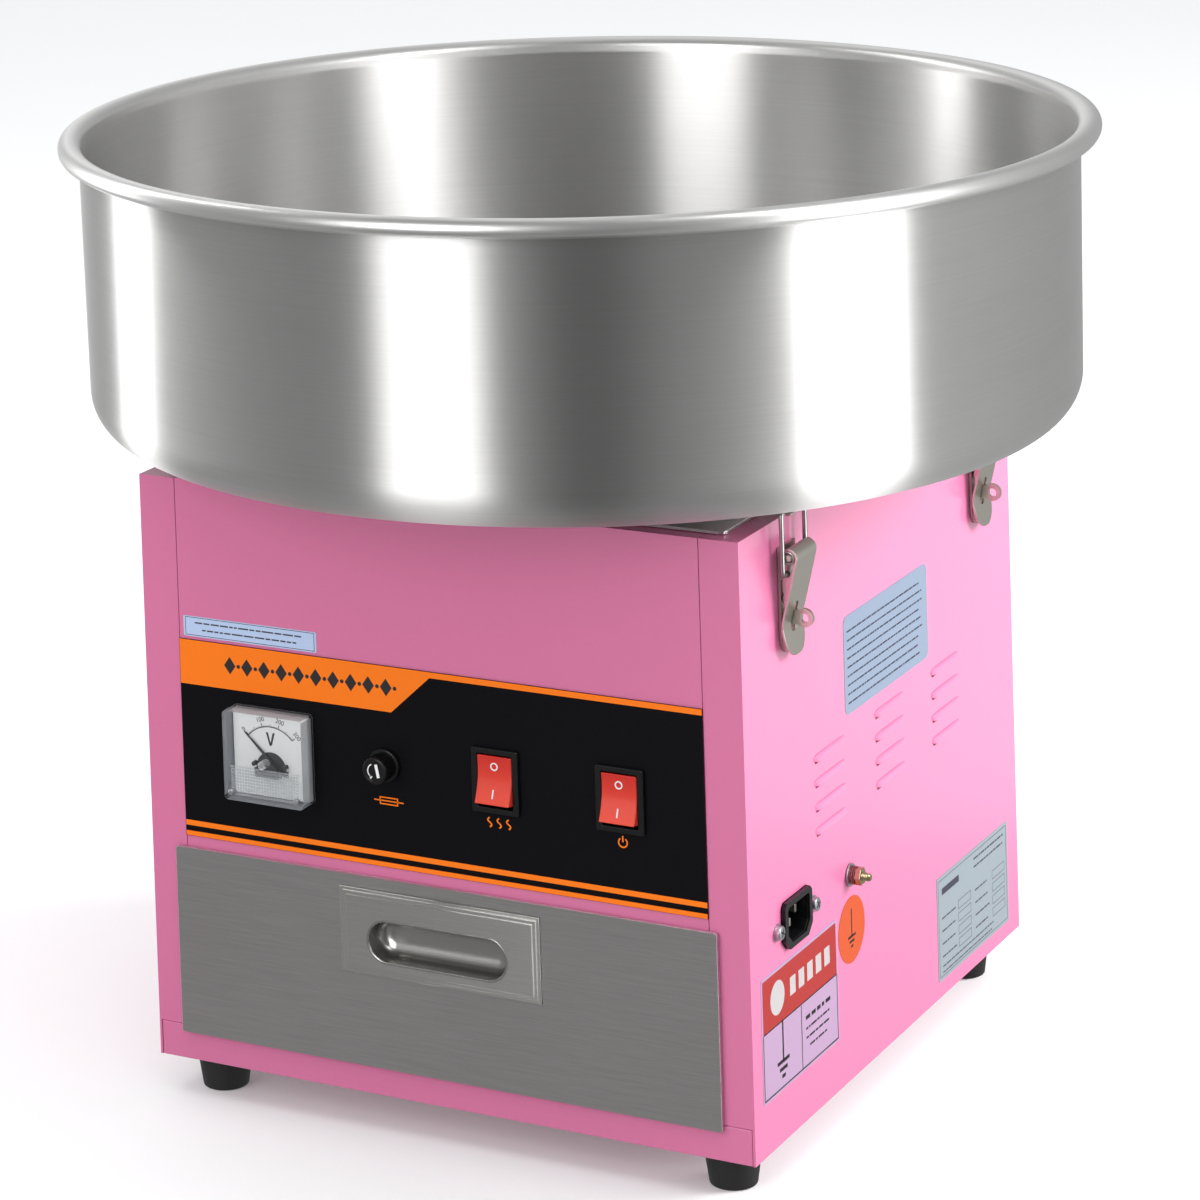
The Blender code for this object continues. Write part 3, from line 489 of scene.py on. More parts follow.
def sheet_outline(path, thickness):
    """The closed outline of a sheet whose middle follows the path."""
    points = [Vector(p) for p in path]
    sides = ([], [])
    for i, point in enumerate(points):
        before = (point - points[i - 1]).normalized() if i else None
        after = (points[i + 1] - point).normalized() if i + 1 < len(points) else None
        normals = [Vector((-d.y, d.x)) for d in (before, after) if d]
        normal = sum(normals, Vector((0, 0))).normalized()
        reach = thickness / 2 / normal.dot(normals[0])
        sides[0].append(tuple(point + normal * reach))
        sides[1].append(tuple(point - normal * reach))
    return sides[0] + sides[1][::-1]


def rounded_path(points, radius, steps):
    points = [Vector(p) for p in points]
    path = [points[0]]
    for before, corner, after in zip(points, points[1:], points[2:]):
        start = corner + (before - corner).normalized() * radius
        end = corner + (after - corner).normalized() * radius
        for i in range(steps + 1):
            t = i / steps
            path.append(start * (1 - t) ** 2 + corner * 2 * t * (1 - t) + end * t**2)
    return path + [points[-1]]


def lettering(text, size, depth):
    """Flat figures standing on Z = 0, centred."""
    curve = bpy.data.curves.new("figures", "FONT")
    curve.body = text
    curve.size = size
    curve.extrude = depth / 2
    curve.align_x = "CENTER"
    curve.align_y = "CENTER"
    holder = linked("figures", curve)
    mesh = evaluated(holder)
    discard(holder)
    return moved(linked("figures", mesh), shift(0, 0, depth / 2))


def soften(obj, width, segments):
    """Rounds the sharp edges by a width in millimetres."""
    bevel = obj.modifiers.new("round_edges", "BEVEL")
    bevel.width = width / 1000
    bevel.segments = segments
    bevel.limit_method = "ANGLE"
    bevel.angle_limit = radians(32)
    bevel.miter_outer = "MITER_ARC"
    even = obj.modifiers.new("even_shading", "WEIGHTED_NORMAL")
    even.keep_sharp = True


def piece(obj, name, look, node=None, edge=0.0, segments=3, angle=35, body="casing"):
    """Turns a finished shape into a piece of the object, in the place of a CAD node if one is named."""
    moved(obj, TO_FRAME)
    obj.name = name
    obj.data.name = name
    obj.data.materials.clear()
    obj.data.materials.append(LOOKS[look])
    obj.data.shade_smooth()
    obj.data.set_sharp_from_angle(angle=radians(angle))
    if edge:
        soften(obj, edge, segments)
    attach(obj, body)
    if node:
        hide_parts(node)


def keep(node, look, edge=0.0):
    """Shows a CAD node with its own material and softened edges."""
    obj = frame["nodes"][node]
    obj.data.materials.clear()
    obj.data.materials.append(LOOKS[look])
    if edge:
        weld = obj.modifiers.new("weld", "WELD")
        weld.merge_threshold = 0.00001
        flat = obj.modifiers.new("merge_flat", "DECIMATE")
        flat.decimate_type = "DISSOLVE"
        flat.angle_limit = radians(0.5)
        soften(obj, edge, 2)


def on_front(x, h):
    """Turns a shape's +Z out of the front panel and its +Y upwards, and moves it to (x, h)."""
    return shift(x, FRONT, h) @ spin(90, "X")


def on_side(y, h):
    """Turns a shape's +Z out of the right-hand panel and its +Y upwards, and moves it to (y, h)."""
    turn = Matrix(((0, 0, 1, 0), (1, 0, 0, 0), (0, 1, 0, 0), (0, 0, 0, 1)))
    return shift(SIDE, y, h) @ turn


def screw(radius, height):
    """A pan-head screw with a cross recess, standing on Z = 0."""
    edge, arm, half, floor_height = radius * 0.3, radius * 0.62, radius * 0.13, height * 0.45
    head = [(0, -0.5), (radius, -0.5), (radius, floor_height)]
    head += arc((radius - edge, height - edge), edge, 0, 60, 4) + [(radius * 0.4, height), (0, height)]
    slots = [box((-x, -y, floor_height), (x, y, height * 2)) for x, y in ((arm, half), (half, arm))]
    return cut(turned(head, 32), *slots)


# ---- casing


def side_panel(sign):
    """A wall with its louvre slots, and flanges turned in at the front, the rear and the top."""
    inner, bottom, outer = 140.2, 17.3, SIDE - SHEET / 2
    wall = box((SIDE - SHEET, FRONT, 0), (SIDE, REAR, CASING_TOP))
    front = box((inner, FRONT, bottom), (outer, FRONT + SHEET, CASING_TOP))
    rear = box((inner, REAR - SHEET, bottom), (outer, REAR, CASING_TOP))
    over = box((inner, FRONT, CASING_TOP - SHEET), (outer, REAR, CASING_TOP))
    panel = union(wall, front, rear, over)
    slots = []
    for y in LOUVRE_COLUMNS:
        for h in LOUVRE_ROWS:
            slots.append(box((SIDE - 4, sign * y - 17, h - 0.8), (SIDE + 2, sign * y + 17, h + 1.2)))
    holes = [joined(*slots)]
    if sign > 0:
        holes.append(prism(chamfered(INLET, (31.6, 23.1), 2, 5), "X", SIDE - 4, SIDE + 2))
        holes.append(prism(circle(STUD, 2.6), "X", SIDE - 4, SIDE + 2))
    return moved(cut(panel, *holes), to_side(sign))


def control_holes(start, end):
    """Cutters for the meter, the fuse holder and the switches."""
    holes = [prism(circle(METER, 18.6), "Y", start, end), prism(circle(FUSE, 6.4), "Y", start, end)]
    return holes + [prism(rectangle(place, (21.2, 28)), "Y", start, end) for place in SWITCHES.values()]


def front_panel():
    half, bottom = 139.8, 100.0
    face = box((-half, FRONT, bottom), (half, FRONT + SHEET, CASING_TOP))
    over = box((-half, FRONT + 0.6, CASING_TOP - SHEET), (half, FRONT + 28, CASING_TOP))
    under = box((-half, FRONT + 0.6, bottom), (half, FRONT + 15, bottom + SHEET))
    return cut(union(face, over, under), *control_holes(FRONT - 2, FRONT + 4))


def rear_panel():
    half, bottom = 139.8, 17.3
    face = box((-half, REAR - SHEET, bottom), (half, REAR, CASING_TOP))
    over = box((-half, REAR - 28, CASING_TOP - SHEET), (half, REAR - 0.6, CASING_TOP))
    return union(face, over)


def tray():
    half = SIDE - 1.5
    pan = box((-half, FRONT, 0), (half, REAR, 17))
    cut(pan, box((-half + SHEET, FRONT + SHEET, SHEET), (half - SHEET, REAR - SHEET, 20)))
    runners = [box((x - 5, FRONT + 12, 0.6), (x + 5, REAR - 50, 18)) for x in (-105, 105)]
    return union(pan, *runners)


def casing():
    for shape, name, node in (
        (side_panel(1), "side_sheet_right", "right_side_panel"),
        (side_panel(-1), "side_sheet_left", "left_side_panel"),
        (front_panel(), "front_sheet", "front_panel"),
        (rear_panel(), "rear_sheet", "rear_panel"),
        (tray(), "bottom_tray", "base_tray"),
    ):
        piece(shape, name, "pink_paint", node=node, edge=0.5)
    keep("deck_plate", "brushed_steel", 0.4)
    keep("motor_housing", "motor_grey", 0.8)
    keep("motor_bracket", "zinc_plate", 0.5)
    keep("bowl_seal", "black_rubber", 0.8)
    keep("brush_block", "brown_resin", 0.5)
    for sign, side in ((1, "right"), (-1, "left")):
        hoods = [louvre(sign * y, h, sign) for y in LOUVRE_COLUMNS for h in LOUVRE_ROWS]
        piece(joined(*hoods), f"louvre_hoods_{side}", "pink_paint", angle=50)
    for name, y, _ in LATCHES:
        row, side = name.split("_")
        profile = [(0, 0.2), (10.2, 0.2)] + arc((10.4, 1.2), 1, -90, -5, 4)
        profile += [(13.4, 15.2), (14.4, 15.8), (14.5, 19.7), (5, 19.7), (5, 17), (0, 17)]
        foot = turned([(r, h - FOOT) for r, h in profile], 64)
        place = shift(137.5 if side == "right" else -137.5, -144 if row == "front" else 144, 0)
        piece(moved(foot, place), f"rubber_foot_{name}", "black_rubber", node=f"foot_{name}")
    places = [shift(x, 0, h) @ spin(180) @ on_front(0, 0) for x in (-132, 132) for h in (40, 150, 262)]
    heads = [moved(screw(3.4, 2.2), place) for place in places]
    piece(joined(*heads), "rear_screws", "zinc_plate")


def louvre(y, h, sign):
    """A pressed hood over one slot, open underneath."""
    length, top, lip, depth = 18.6, h + 3.8, h + 0.1, 1.3
    bm = bmesh.new()
    columns, rows = 28, 8
    outer, inner = [], []
    for i in range(columns + 1):
        u = -1 + 2 * i / columns
        swell = sqrt(max(0.0, 1 - abs(u) ** 5))
        for j in range(rows + 1):
            t = j / rows * pi / 2
            out = depth * swell * sin(t)
            rise = lip + (top - lip) * (cos(t) * (0.4 + 0.6 * swell) + 0.3 * (1 - swell))
            outer.append(bm.verts.new((SIDE + 0.05 + out, y + u * length, rise)))
            back = (SIDE - 0.55 + out * 0.9, y + u * (length - 0.5), rise - 0.5 * cos(t))
            inner.append(bm.verts.new(back))
    span = rows + 1
    for grid, order in ((outer, 1), (inner, -1)):
        for i in range(columns):
            for j in range(rows):
                a, b = i * span + j, (i + 1) * span + j
                bm.faces.new([grid[k] for k in (a, b, b + 1, a + 1)[::order]])
    rim = [(i * span + j, (i + 1) * span + j) for i in range(columns) for j in (0, rows)]
    rim += [(i * span + j, i * span + j + 1) for i in (0, columns) for j in range(rows)]
    for a, b in rim:
        bm.faces.new((outer[a], outer[b], inner[b], inner[a]))
    return moved(object_from(bm), to_side(sign))


# ---- bowl


def bowl():
    corner, bead, half = (227.4, 321.3), (255.4, 442.4), 0.6
    path = [(63, 312)] + arc((67.6, 305.9), 4.6, 180, 270, 8)
    path += arc(corner, 20, -90, 0, 20)
    shoulder = [radians(180 - 10 * i) for i in range(9)]
    path += [(bead[0] + 6.3 * cos(a), bead[1] + 4.0 * sin(a)) for a in shoulder]
    path += arc(bead, 4.0, 90, -120, 24)
    outline = sheet_outline(path, 2 * half)
    piece(turned(outline, 288), "spun_bowl", "spun_bowl", node="bowl", angle=60)
    for name, _, _ in LATCHES:
        keep(f"bowl_hook_{name}", "nickel_steel", 0.25)


# ---- spinning head


def head():
    body = "spinning_head"
    keep("motor_shaft", "machined_steel", 0.3)
    keep("slip_ring_carrier", "brown_resin", 0.4)
    for end in ("lower", "upper"):
        keep(f"slip_ring_{end}", "brass", 0.3)
    pan = [(4.3, 314), (11, 314), (11, 317.5), (58, 317.5)] + arc((64, 323.4), 4, -75, 0, 6)
    pan += [(68, 329), (67.3, 330), (66.6, 329), (66.6, 323.4), (57.8, 319.2), (11, 319.2)]
    pan += [(9, 321), (9, 346), (4.3, 346)]
    lid = [(15, 368), (15, 361), (17, 359), (45, 356.2), (66.6, 353), (66.6, 348), (68, 348)]
    lid += [(68, 354.4), (67, 355.6), (45, 358.6), (18.6, 361.2)] + arc((16.9, 367.1), 0.9, 0, 150, 5)
    for name, profile in (("pan", pan), ("lid", lid)):
        piece(
            turned(profile, 128),
            f"cast_{name}", "cast_aluminium", node=f"head_{name}", edge=0.3, segments=2, body=body,
        )
    ribs = [moved(box((24, -1.1, 356), (60, 1.1, 359.4)), spin(60 * k)) for k in range(6)]
    piece(joined(*ribs), "lid_ribs", "cast_aluminium", edge=0.4, segments=2, body=body)
    bars = [moved(box((64.6, -1.5, 326), (65.7, 1.5, 349)), spin(5 * k)) for k in range(72)]
    rings = [band(64.5, 65.8, a, b, 144) for a, b in ((323, 327), (348, 352))]
    piece(joined(*bars, *rings), "slotted_screen", "screen_steel", node="head_screen", body=body)
    ring = band(54.5, 59.5, 323, 327, 96)
    piece(ring, "heater_ring", "heater_ceramic", node="head_heater", edge=0.3, segments=2, body=body)
    turns, steps = 60, 14
    coil = []
    for k in range(turns * steps):
        around, roll = tau * k / (turns * steps), tau * k / steps
        radius = 57 + 2.4 * cos(roll)
        coil.append((radius * cos(around), radius * sin(around), 332.5 + 4.2 * sin(roll)))
    piece(tube(coil, 0.45, 6, closed=True), "heater_coil", "heater_wire", body=body)
    nut = prism(circle((0, 0), 7.5, 6), "Z", 346.3, 351.5)
    cut(nut, prism(circle((0, 0), 4.3, 32), "Z", 340, 360))
    piece(nut, "lock_nut", "machined_steel", node="head_nut", edge=0.5, body=body)


# ---- latches

# Drawn in a frame whose X points out of the side panel; placed() takes them to each latch.

PIN = (6.6, 273.0)
BAIL_PIVOT = (4.7, 265.0)
EYE = (9.4, 242.8)


def placed(shape, y, sign):
    """A copy of a latch's shape, moved to a place on the right or the left."""
    return moved(linked(shape.name, shape.data.copy()), shift(sign * SIDE, y, 0) @ to_side(sign))


def ears(outline, near, far):
    """The same ear on either side of a latch."""
    return [prism(outline, "Y", side * near, side * far) for side in (-1, 1)]


def latch_base():
    outline = [(-9, 277)] + arc((0, 235), 9, 180, 360, 24) + [(9, 277)]
    plate = prism(outline, "X", 0.3, 1.5)
    ear = [(1, 271), (1, 256), (2.2, 256)] + arc(PIN, 3.1, -35, 200, 24)
    stem = prism(rectangle((5.2, EYE[1]), (8.4, 6.6)), "Y", -1.1, 1.1)
    ring = prism(circle(EYE, 4.4), "Y", -1.1, 1.1)
    union(plate, *ears(ear, 5.8, 7), stem, ring)
    return cut(plate, prism(circle(PIN, 2.2), "Y", -12, 12), prism(circle(EYE, 2.2), "Y", -3, 3))


def latch_lever():
    """Folded plate with ears; its top rolls over the pin and its lower end bends out for the thumb."""
    path = arc(PIN, 4.1, 92, -14, 12)
    path += [(3.3, 243)] + arc((6.6, 239), 3.8, 165, 200, 4) + [(5.2, 225.3)]
    plate = prism(sheet_outline(path, 1.2), "Y", -11.3, 11.3)
    tongue = [(-11.3, 280)] + arc((0, 236.3), 11.3, 180, 360, 28) + [(11.3, 280)]
    combined(plate, "INTERSECT", [prism(tongue, "X", 0, 20)])
    ear = [(3.4, 243)] + arc(PIN, 4.1, -14, 150, 14) + [(2.3, 270), (2.3, 260)]
    union(plate, *ears(ear, 8.6, 7.4))
    slot = prism(rounded((0, 243.2), (4.8, 14), 2), "X", 0, 20)
    bores = [prism(circle(*bore), "Y", -12, 12) for bore in ((PIN, 2.2), (BAIL_PIVOT, 1.55))]
    return cut(plate, slot, *bores)


def latch_bail():
    out, foot = BAIL_PIVOT
    corners = [(-7.3, foot), (-13.2, foot), (-13.2, 294.9), (13.2, 294.9), (13.2, foot), (7.3, foot)]
    corners = [(out, y, h) for y, h in corners]
    return tube(rounded_path(corners, 2.8, 8), 1.25, 16)


def latch_spring(side):
    """Torsion spring wound on the pin beside an ear, with a tail down to the base plate."""
    points = [(1.9, side * 9.0, 262)]
    turns, steps = 2.6, 24
    for k in range(int(turns * steps) + 1):
        t = tau * k / steps
        along = 9.25 + 1.7 * k / (turns * steps)
        points.append((PIN[0] - 2.65 * cos(t), side * along, PIN[1] - 2.65 * sin(t)))
    return tube(points, 0.55, 10)


def latches():
    profile = [(0, -11.3), (1.3, -11.2), (1.9, -10.6), (1.9, 10.6), (1.3, 11.2), (0, 11.3)]
    pin = moved(turned(profile, 40), shift(PIN[0], 0, PIN[1]) @ spin(90, "X"))
    rivets = []
    for y, h in ((-4.4, 252), (4.4, 252), (0, 231)):
        rivet = turned([(0, 0), (2.3, 0), (2.0, 0.7), (1.1, 1.15), (0, 1.25)], 24)
        rivets.append(moved(rivet, shift(1.45, y, h) @ spin(90, "Y")))
    rivets = joined(*rivets)
    shapes = {
        "latch_base": (latch_base(), "base_plate", "casing", "nickel_steel", 0.25),
        "latch_pin": (pin, "pin", "casing", "nickel_steel", 0),
        "latch_lever": (latch_lever(), "lever", "lever", "nickel_steel", 0.35),
        "latch_bail": (latch_bail(), "bail", "bail", "bail_wire", 0),
        "spring": (joined(latch_spring(-1), latch_spring(1)), "springs", "casing", "bail_wire", 0),
        "rivets": (rivets, "rivets", "casing", "nickel_steel", 0),
    }
    for name, y, sign in LATCHES:
        for node, (shape, label, body, look, edge) in shapes.items():
            rider = body if body == "casing" else f"{body}_{name}"
            replaced = f"{node}_{name}" if node.startswith("latch") else None
            made = placed(shape, y, sign)
            piece(made, f"toggle_{label}_{name}", look, replaced, edge=edge, body=rider)
    discard(*[shape[0] for shape in shapes.values()])


# ---- control panel


def overlay():
    """Printed film: black ground, an orange banner over the meter and orange stripes."""
    low, high = 113.0, 211.0
    near, face = FRONT - 0.3, FRONT - 0.72
    film = box((-140, face, low), (140, near, high))
    cut(film, *control_holes(near + 2, face - 2))
    piece(film, "panel_film", "printed_film", node="control_overlay", edge=0.12)
    banner = [(-139.8, 188.8), (-22.7, 188.8), (-1.4, 208), (139.8, 208), (139.8, 210.8), (-139.8, 210.8)]
    printed = [banner, *rectangles((0, 119.5, 279.6, 2.6), (0, 114.3, 279.6, 2.3))]
    piece(prisms(printed, "Y", face - 0.06, face + 0.1), "panel_orange", "orange_print")
    scroll = []
    for k in range(10):
        x = -111.5 + 9.6 * k
        scroll.append([(x - 3.2, 200.6), (x, 204.9), (x + 3.2, 200.6), (x, 196.3)])
        scroll.append(circle((x + 4.8, 200.6), 1.0, 16))
    piece(prisms(scroll, "Y", face - 0.1, face), "banner_ornament", "ink")
    piece(joined(*captions(face)), "panel_symbols", "orange_print")


def captions(face):
    """Plain symbols under the controls: a fuse, three waves of heat and an on-off ring."""
    start, end = face - 0.06, face + 0.05
    frame_and_wire = rectangles(
        (-25.5, 147, 9, 0.6), (-25.5, 143.8, 9, 0.6), (-30.2, 145.4, 0.6, 3.8), (-20.8, 145.4, 0.6, 3.8),
        (-25.5, 145.4, 16, 0.6),
    )
    made = [prisms(frame_and_wire, "Y", start, end)]
    for x in (28.5, 33.5, 38.5):
        wave = [(x + 1.0 * sin(tau * k / 14), 140.6 + 4.6 * k / 14) for k in range(15)]
        made.append(prism(sheet_outline(wave, 0.75), "Y", start, end))
    ring = arc((97.8, 142.9), 2.2, 125, 415, 28)
    made.append(prism(sheet_outline(ring, 0.7), "Y", start, end))
    made.append(prism(rectangle((97.8, 144.6), (0.75, 3.0)), "Y", start, end))
    return made


def meter():
    cover = prism(rounded((0, 0), (44, 44), 2.2), "Z", 1.1, 13.1)
    cut(cover, prism(rounded((0, 0), (42, 42), 1.2), "Z", 0, 11.8))
    place = on_front(*METER)
    piece(moved(cover, place), "meter_window", "clear_plastic", node="meter_cover", edge=0.7)
    plate = prism(rounded((0, 0), (40.2, 40.2), 0.6), "Z", 1.4, 3.1)
    stem = prism(circle((0, 0), 18, 48), "Z", -28, 2)
    piece(moved(union(plate, stem), place), "meter_back", "dial_white", node="meter_body", edge=0.3)
    face = prism(rounded((0, 0), (41.4, 41.4), 0.8), "Z", 3.0, 4.6)
    piece(moved(face, place), "meter_face", "dial_white", edge=0.25)
    piece(moved(joined(*dial_marks(4.6)), place), "meter_marks", "ink")
    pivot = -2.6
    foot = pivot - 4.4
    hub = [(9.6, foot)] + arc((0, foot), 8.4, 0, 180, 24) + [(-9.6, foot), (-9.6, foot - 3), (9.6, foot - 3)]
    hub = prism(hub, "Z", 4.5, 4.9)
    posts = [turned([(0, 4.5), (1.1, 4.5), (1.1, 7.2), (0.8, 7.5), (0, 7.5)], 20) for _ in range(2)]
    for post, side in zip(posts, (-1, 1)):
        moved(post, shift(side * 8.6, foot + 2.4, 0))
    lump = prism([(-6.8, foot - 3)] + arc((0, foot - 3), 6.8, 180, 0, 20)[1:], "Z", 6.4, 9.4)
    piece(moved(joined(hub, lump, *posts), place), "meter_works", "needle_black", edge=0.2)
    knob = turned([(0, 9.3), (2.1, 9.3), (2.1, 14.0), (1.7, 14.4), (0.5, 14.0), (0, 14.0)], 32)
    moved(knob, shift(0, pivot, 0))
    cut(knob, box((-1.6, pivot - 0.2, 13.6), (1.6, pivot + 0.2, 15)))
    piece(moved(knob, place), "meter_zero_screw", "frosted_plastic")
    ribs = []
    for i in range(25):
        for j in range(9):
            a, b = -18 + 1.5 * i, -19.0 + 1.5 * j
            ribs.append(box((a - 0.62, b - 0.62, 11.2), (a + 0.62, b + 0.62, 11.75)))
    sill = box((-19.2, pivot - 3.4, 11.0), (19.2, pivot - 2.8, 11.75))
    lens = moved(joined(sill, *ribs), place)
    piece(lens, "meter_lens_ribs", "frosted_plastic", edge=0.2, segments=2)
    screws = []
    for side in (-1, 1):
        head = turned([(0, 11.8), (1.5, 11.8), (1.5, 13.3), (1.1, 13.6), (0, 13.6)], 24)
        cut(head, box((-1.6, -0.2, 13.1), (1.6, 0.2, 14)))
        screws.append(moved(head, shift(side * 18.2, -18.0, 0)))
    piece(moved(joined(*screws), place), "meter_screws", "zinc_plate")
    keep("meter_needle", "needle_black")


def dial_marks(level):
    """Scale arc, ticks, figures and the unit letter of a 0 to 300 volt scale."""
    centre, radius, sweep = (0.0, -2.6), 16.4, 47.5
    scale = sheet_outline(arc(centre, radius, 90 + sweep, 90 - sweep, 48), 0.42)
    marks = [prism(scale, "Z", level, level + 0.06)]
    ticks = []
    for k in range(31):
        long = k % 10 == 0
        reach = 2.0 if long else (1.4 if k % 5 == 0 else 0.8)
        angle = radians(90 + sweep - 2 * sweep * k / 30)
        along = Vector((cos(angle), sin(angle)))
        across = Vector((-along.y, along.x)) * (0.2 if long else 0.11)
        start, end = Vector(centre) + along * radius, Vector(centre) + along * (radius + reach)
        ticks.append([tuple(start - across), tuple(end - across), tuple(end + across), tuple(start + across)])
    marks.append(prisms(ticks, "Z", level, level + 0.06))
    for k, text in enumerate(("0", "100", "200", "300")):
        angle = radians(90 + sweep - 2 * sweep * k / 3)
        x, y = centre[0] + (radius + 3.7) * cos(angle), centre[1] + (radius + 3.7) * sin(angle)
        turn = spin(degrees(angle) - 90)
        marks.append(moved(lettering(text, 3.2, 0.06), shift(x, y, level) @ turn))
    letter = [(-2.5, 11.0), (-1.35, 11.0), (0, 6.0), (1.35, 11.0), (2.5, 11.0), (0.6, 4.6), (-0.6, 4.6)]
    marks.append(prism(letter, "Z", level, level + 0.06))
    return marks


def fuse():
    place = on_front(*FUSE)
    holder = [(0, -28), (6, -28), (6, 1.1), (8, 1.1), (8, 2.6)] + arc((7.4, 2.9), 0.6, 0, 90, 4)
    holder += [(4.6, 3.5), (4.6, -26), (0, -26)]
    piece(moved(turned(holder, 64), place), "fuse_collar", "black_plastic", node="fuse_holder")
    profile = [(0, -4), (4.2, -4), (4.2, 3.8), (6.2, 3.8), (6.5, 4.4), (6.4, 11.6)]
    profile += arc((5.6, 11.6), 0.8, 0, 90, 5) + [(5.1, 12.4), (4.9, 12.1), (0, 12.1)]
    knob = turned(profile, 64)
    flutes = [moved(box((6.2, -0.28, 4.6), (6.7, 0.28, 11.2)), spin(360 * k / 28)) for k in range(28)]
    knob = moved(joined(knob, *flutes), place)
    piece(knob, "fuse_knob", "black_plastic", node="fuse_cap", edge=0.12, segments=2, body="fuse_knob")
    curl = sheet_outline(arc((0, 0), 3.5, 115, 235, 16), 0.55)
    tip = [(-2.9, -2.2), (-2.1, -4.0), (-1.0, -2.6)]
    bar = [(0.1, 3.2), (1.6, 3.6), (2.9, -2.7), (1.4, -3.2)]
    mark = moved(prisms([curl, tip, bar], "Z", 12.1, 12.18), place)
    piece(mark, "fuse_knob_mark", "white_print", body="fuse_knob")
    ends = [band(0, 2.6, a, b, 32) for a, b in ((-24.4, -19.4), (-9.4, -4.4))]
    piece(moved(joined(*ends), place), "fuse_ends", "nickel_steel", body="fuse_carrier")
    glass = moved(band(0, 2.4, -23, -6, 32), place)
    piece(glass, "fuse_tube", "fuse_glass", node="fuse_link", body="fuse_carrier")


def switch(kind):
    x, h = SWITCHES[kind]
    bezel = prism(rounded((0, 0), (24.5, 30.8), 0.8), "Z", 1.1, 3.0)
    union(bezel, prism(rectangle((0, 0), (20.6, 27.4)), "Z", -22, 2))
    cut(bezel, prism(rounded((0, 0), (18.4, 25.6), 0.5), "Z", -14, 5))
    moved(bezel, on_front(x, h))
    piece(bezel, f"{kind}_switch_bezel", "black_plastic", node=f"{kind}_switch_frame", edge=0.35)
    tilt = 10
    slope = tan(radians(tilt))
    reach, valley, sag = 11.3, 4.2, 0.35
    upper = []
    for t in [k / 8 for k in range(9)]:
        upper.append((reach * t, valley + reach * t * slope - sag * 4 * t * (1 - t)))
    side = upper[1:] + [(reach, 1), (5, -7)]
    outline = [upper[0]] + side + [(-a, b) for a, b in reversed(side)]
    key = prism([(-b, a) for a, b in outline], "X", -9, 9)
    rest = shift(x, FRONT + 1, h) @ spin(-tilt, "X")
    body = f"{kind}_key"
    moved(key, rest)
    piece(key, f"{kind}_key", "red_plastic", node=f"{kind}_rocker", edge=0.5, angle=20, body=body)
    flat = spin(90, "X")
    ring = moved(band(1.35, 1.95, 0, 0.3, 40), flat)
    bar = moved(box((-0.32, -2.1, 0), (0.32, 2.1, 0.3)), flat)
    lift = valley + 6.4 * slope
    moved(ring, rest @ shift(0, 0.3 - lift, 6.4) @ spin(tilt, "X"))
    moved(bar, rest @ shift(0, 0.3 - lift, -6.4) @ spin(-tilt, "X"))
    piece(joined(ring, bar), f"{kind}_key_marks", "white_print", body=body)


# ---- side fittings


def inlet():
    place = on_side(*INLET)
    socket = prism(chamfered((0, 0), (31, 22.5), 2, 5), "Z", -3, 2.3)
    rear = prism(rectangle((0, 0), (27, 19.4)), "Z", -16, -2.5)
    union(socket, prism(stadium((0, 0), (51, 14)), "Z", -3.5, -1.5), rear)
    cut(socket, prism(chamfered((0, 0), (24, 16.4), 1, 4.2), "Z", -13, 4))
    cut(socket, prism(chamfered((0, 0), (24.8, 17.2), 1.2, 4.4), "Z", 1.2, 4))
    piece(moved(socket, place), "inlet_socket", "black_plastic", node="power_inlet", edge=0.5)
    pins = [box((a - 1, b - 2, -13), (a + 1, b + 2, -2.5)) for a, b in ((-7, 2), (7, 2), (0, -2.5))]
    piece(moved(joined(*pins), place), "inlet_pins", "nickel_steel", edge=0.4)
    heads = []
    for side in (-1, 1):
        washer = band(1.5, 4.0, 0.02, 0.7, 32)
        head = moved(screw(3.4, 2.5), shift(0, 0, 0.65) @ Matrix.Rotation(0.5 * side, 4, "Z"))
        heads.append(moved(joined(washer, head), shift(side * 20.7, 0, 0)))
    piece(moved(joined(*heads), place), "inlet_screws", "zinc_plate")


def stud():
    place = on_side(*STUD)
    thread = [(0, -8)]
    for k in range(23):
        low = -8 + 0.8 * k
        thread += [(1.6, low + 0.02), (2.0, low + 0.4)]
    thread += [(1.4, 11), (0, 11)]
    piece(moved(turned(thread, 32), place), "stud_thread", "brass", node="ground_stud")
    piece(moved(band(2.05, 5.5, 0.3, 1.1, 40), place), "stud_washer", "zinc_plate", edge=0.2)
    lug = [(2.05, 1.15), (4.4, 1.15), (4.4, 1.9), (3.6, 2.0), (4.4, 2.2), (4.4, 3.0), (3.6, 3.1), (4.3, 3.3)]
    lug += [(4.3, 3.9), (2.05, 3.9)]
    piece(moved(turned(lug, 40), place), "stud_lug", "copper")
    nut = cut(prism(circle((0, 0), 4.5, 6), "Z", 3.95, 6.9), prism(circle((0, 0), 2.1), "Z", 3, 8))
    piece(moved(nut, place), "stud_nut", "brass", edge=0.4)


# ---- drawer


